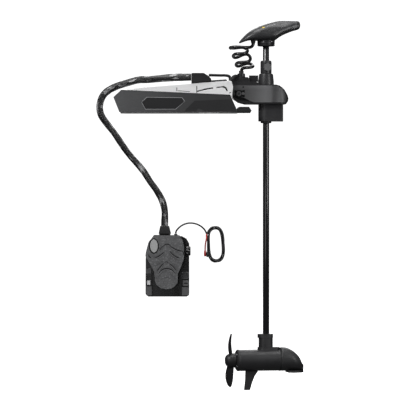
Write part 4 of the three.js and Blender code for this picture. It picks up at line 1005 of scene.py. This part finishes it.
# black strain relief over the cable on the housing side of the fold
gland_boot = sweep("gland_cable_boot", catmull([[229, -14, 158], [221, -30, 159], [211, -46, 154], [204, -57, 143], [202.5, -60, 138.5]], 8), np.interp(np.arange(33), [0, 3, 16, 29, 32], [7.0, 8.4, 8.2, 7.6, 6.4]), 22, M["black_rubber"], "housing")
conduit = sweep("cable_conduit_sleeve", catmull([[103.5, CORD_Y, 162], [112, CORD_Y, 162], [150, CORD_Y, 161], [178, CORD_Y, 160.5], [192, CORD_Y, 156.5], [196, CORD_Y, 148], [196, CORD_Y, 137.4]], 10), 6.4, 20, M["cord_black"], "mount_base")
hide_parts("cable_conduit")


def C(x, y):
    return (-196.2 + 0.4844 * x, -446.5 - 0.4844 * y)


grooves = [
    ([C(212, 282), C(225, 268), C(245, 262), C(266, 268), C(280, 282)], 3.6), ([C(268, 275), C(300, 298), C(345, 318), C(386, 323)], 4.4), ([C(222, 272), C(205, 286), C(188, 308), C(180, 318)], 3.6),
    ([C(268, 322), C(290, 350), C(330, 377), C(358, 384)], 4.6), ([C(222, 327), C(203, 348), C(170, 371), C(138, 381)], 4.6), ([C(104, 384), C(88, 372), C(76, 350)], 2.6),
    ([C(268, 434), C(298, 464), C(324, 493)], 4.6), ([C(215, 432), C(190, 464), C(156, 499)], 4.6), ([C(222, 424), C(240, 420), C(258, 424)], 3.0),
    ([C(172, 523), C(198, 494), C(240, 480), C(288, 492), C(320, 523)], 4.6),
    ([C(384, 322), C(394, 340), C(396, 360)], 2.6),
]
# painted shade: wide darker ribbons over the foot pad's hollows
plates("foot_pad_hollows", [ribbon(g, w * 2.7) for g, w in grooves], -137.08, -135.8, HOLLOW_SHADE, "footplate")
# painted shade: near-black ribbons along the pad's grooves
plates("foot_pad_groove_shade", [ribbon(g, w * 1.15) for g, w in grooves], -137.16, -135.8, BLACK_AND_SHADE, "footplate")
# painted highlight: lighter ribbons just below the grooves
plates("foot_pad_lip_highlights", [ribbon(g, w * 0.55, (0, -w * 0.62)) for g, w in grooves[:5] + grooves[6:10]], -137.25, -135.8, LIP_HIGHLIGHT, "footplate")
spine = [C(236, 290), C(245, 276), C(256, 290), C(262, 340), C(264, 410), C(250, 414), C(238, 410), C(228, 340)]
# painted shade: a near-black ring round the pedal button
ring_o, ring_i = ring_pts(-134, -580, 21.0, 44, 33.0), ring_pts(-134, -580, 17.3, 44, 29.3)
prism("button_shade_ring", ring_o, "y", -138.6, -136.4, BLACK_AND_SHADE, "footplate", 0.5, 2, holes=[ring_i])

# switch boxes and frames on the pedal's base
FR = M["pedal_frame"]
prism("prop_switch_frame", rounded(-13.5, 15.5, -722, -693, 3), "y", -111.2, -107.4, BOX_GREY, "mount_base", 0.6, 2, holes=[rounded(-11.4, 12, -718.6, -696.4, 2)])
prism("selector_box_upper", rounded(-8.7, 17, -754, -730, 2), "y", -111.0, -107.4, BOX_GREY, "mount_base", 0.9, 2)
prism("selector_box_lower", rounded(-13, 17, -795.5, -760, 2), "y", -111.6, -107.4, BOX_GREY, "mount_base", 0.9, 2)
prism("selector_box_mark", rounded(-4, 12, -744, -740, 1.4), "y", -111.5, -110.6, BLACK_AND_SHADE, "mount_base", 0.2, 2)
prism("mode_box_upper", rounded(-168, -146, -711, -679, 2.5), "y", -104, -86.2, BOX_GREY, "mount_base", 0.9, 2)
prism("mode_box_lower", rounded(-168, -143.5, -795, -756, 2.5), "y", -109.4, -105.4, BOX_GREY, "mount_base", 0.9, 2)
rings = []
for xx, k in ((5, 0.80), (5.6, 0.9), (7.2, 1.0), (22.2, 1.0), (23.9, 0.92), (24.6, 0.80)):
    a = np.arange(120) * 2 * PI / 120
    r = (19.4 + 1.6 * np.sign(np.cos(10 * a)) * np.abs(np.cos(10 * a)) ** 0.6) * k
    rings.append(np.stack([np.full(120, xx), -112 + r * np.cos(a), -602 + r * np.sin(a)], 1))
knob = loft("speed_knob_ribbed", rings, KNOB_GLOSS, "speed_knob", 50)
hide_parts("speed_knob")
bead = sweep("pedal_edge_bead", catmull([[-12, -93.4, -541.4], [-2, -93.4, -546.5], [7, -93.4, -554], [13, -93.4, -563], [16.2, -93.4, -573]], 8), 1.7, 14, KNOB_GLOSS, "mount_base")

# ------------------------------------------------------------------ stage and light
floor_mat = Nodes("floor_white")
floor_mat.link(floor_mat.mix(floor_mat.noise(3, 3), (0.90, 0.90, 0.90), (0.93, 0.93, 0.93)), floor_mat.b.inputs["Base Color"])
floor_mat.set(Roughness=0.9, Emission_Color=(1, 1, 1, 1), Emission_Strength=0.96)
floor_me = bpy.data.meshes.new("floor")
floor_me.from_pydata([(-14, -14, -1.262), (14, -14, -1.262), (14, 14, -1.262), (-14, 14, -1.262)], [], [(0, 1, 2, 3)])
floor = bpy.data.objects.new("floor", floor_me)
scene.collection.objects.link(floor)
floor_me.materials.append(floor_mat.m)
floor.visible_diffuse = False
floor.visible_glossy = False

world = bpy.data.worlds.new("studio")
scene.world = world
world.use_nodes = True
wt = world.node_tree
wt.nodes.clear()
out = wt.nodes.new("ShaderNodeOutputWorld")
mixs = wt.nodes.new("ShaderNodeMixShader")
lp = wt.nodes.new("ShaderNodeLightPath")
seen = wt.nodes.new("ShaderNodeBackground")
seen.inputs["Color"].default_value = (1, 1, 1, 1)
seen.inputs["Strength"].default_value = 1.15
lit = wt.nodes.new("ShaderNodeBackground")
tc = wt.nodes.new("ShaderNodeTexCoord")
sep = wt.nodes.new("ShaderNodeSeparateXYZ")
ramp = wt.nodes.new("ShaderNodeValToRGB")
mr = wt.nodes.new("ShaderNodeMapRange")
mr.inputs["From Min"].default_value = -1
mr.inputs["From Max"].default_value = 1
wt.links.new(tc.outputs["Generated"], sep.inputs[0])
wt.links.new(sep.outputs["Z"], mr.inputs["Value"])
wt.links.new(mr.outputs["Result"], ramp.inputs["Fac"])
cr = ramp.color_ramp
cr.elements[0].position, cr.elements[0].color = 0.0, (0.20, 0.20, 0.205, 1)
cr.elements[1].position, cr.elements[1].color = 1.0, (1.0, 1.0, 1.0, 1)
e = cr.elements.new(0.5); e.color = (0.085, 0.085, 0.088, 1)
e = cr.elements.new(0.68); e.color = (0.34, 0.34, 0.345, 1)
wt.links.new(ramp.outputs["Color"], lit.inputs["Color"])
lit.inputs["Strength"].default_value = 0.46
wt.links.new(lp.outputs["Is Camera Ray"], mixs.inputs["Fac"])
wt.links.new(lit.outputs[0], mixs.inputs[1])
wt.links.new(seen.outputs[0], mixs.inputs[2])
wt.links.new(mixs.outputs[0], out.inputs["Surface"])


def area(name, loc, target, size, power, size_y=None, colour=(1, 1, 1)):
    d = bpy.data.lights.new(name, "AREA")
    d.energy = power
    d.color = colour
    d.size = size
    if size_y:
        d.shape = "RECTANGLE"
        d.size_y = size_y
    o = bpy.data.objects.new(name, d)
    o.location = loc
    o.rotation_euler = (Vector(target) - Vector(loc)).to_track_quat("-Z", "Y").to_euler()
    scene.collection.objects.link(o)
    return o


area("key", (-2.8, -3.4, 2.8), (0.1, 0, -0.3), 1.6, 122)
area("fill_right", (3.2, -2.6, 0.6), (0.2, 0, -0.4), 0.8, 44, 2.8)
area("top", (0.2, -0.4, 3.6), (0.1, 0, 0), 2.4, 84)
area("back", (0.6, 3.2, 1.6), (0.1, 0, -0.3), 2.4, 42)
area("low", (-1.0, -3.2, -0.9), (0.1, 0, -0.7), 1.6, 9)
scene.view_settings.view_transform = "Standard"
scene.view_settings.exposure = 0.0
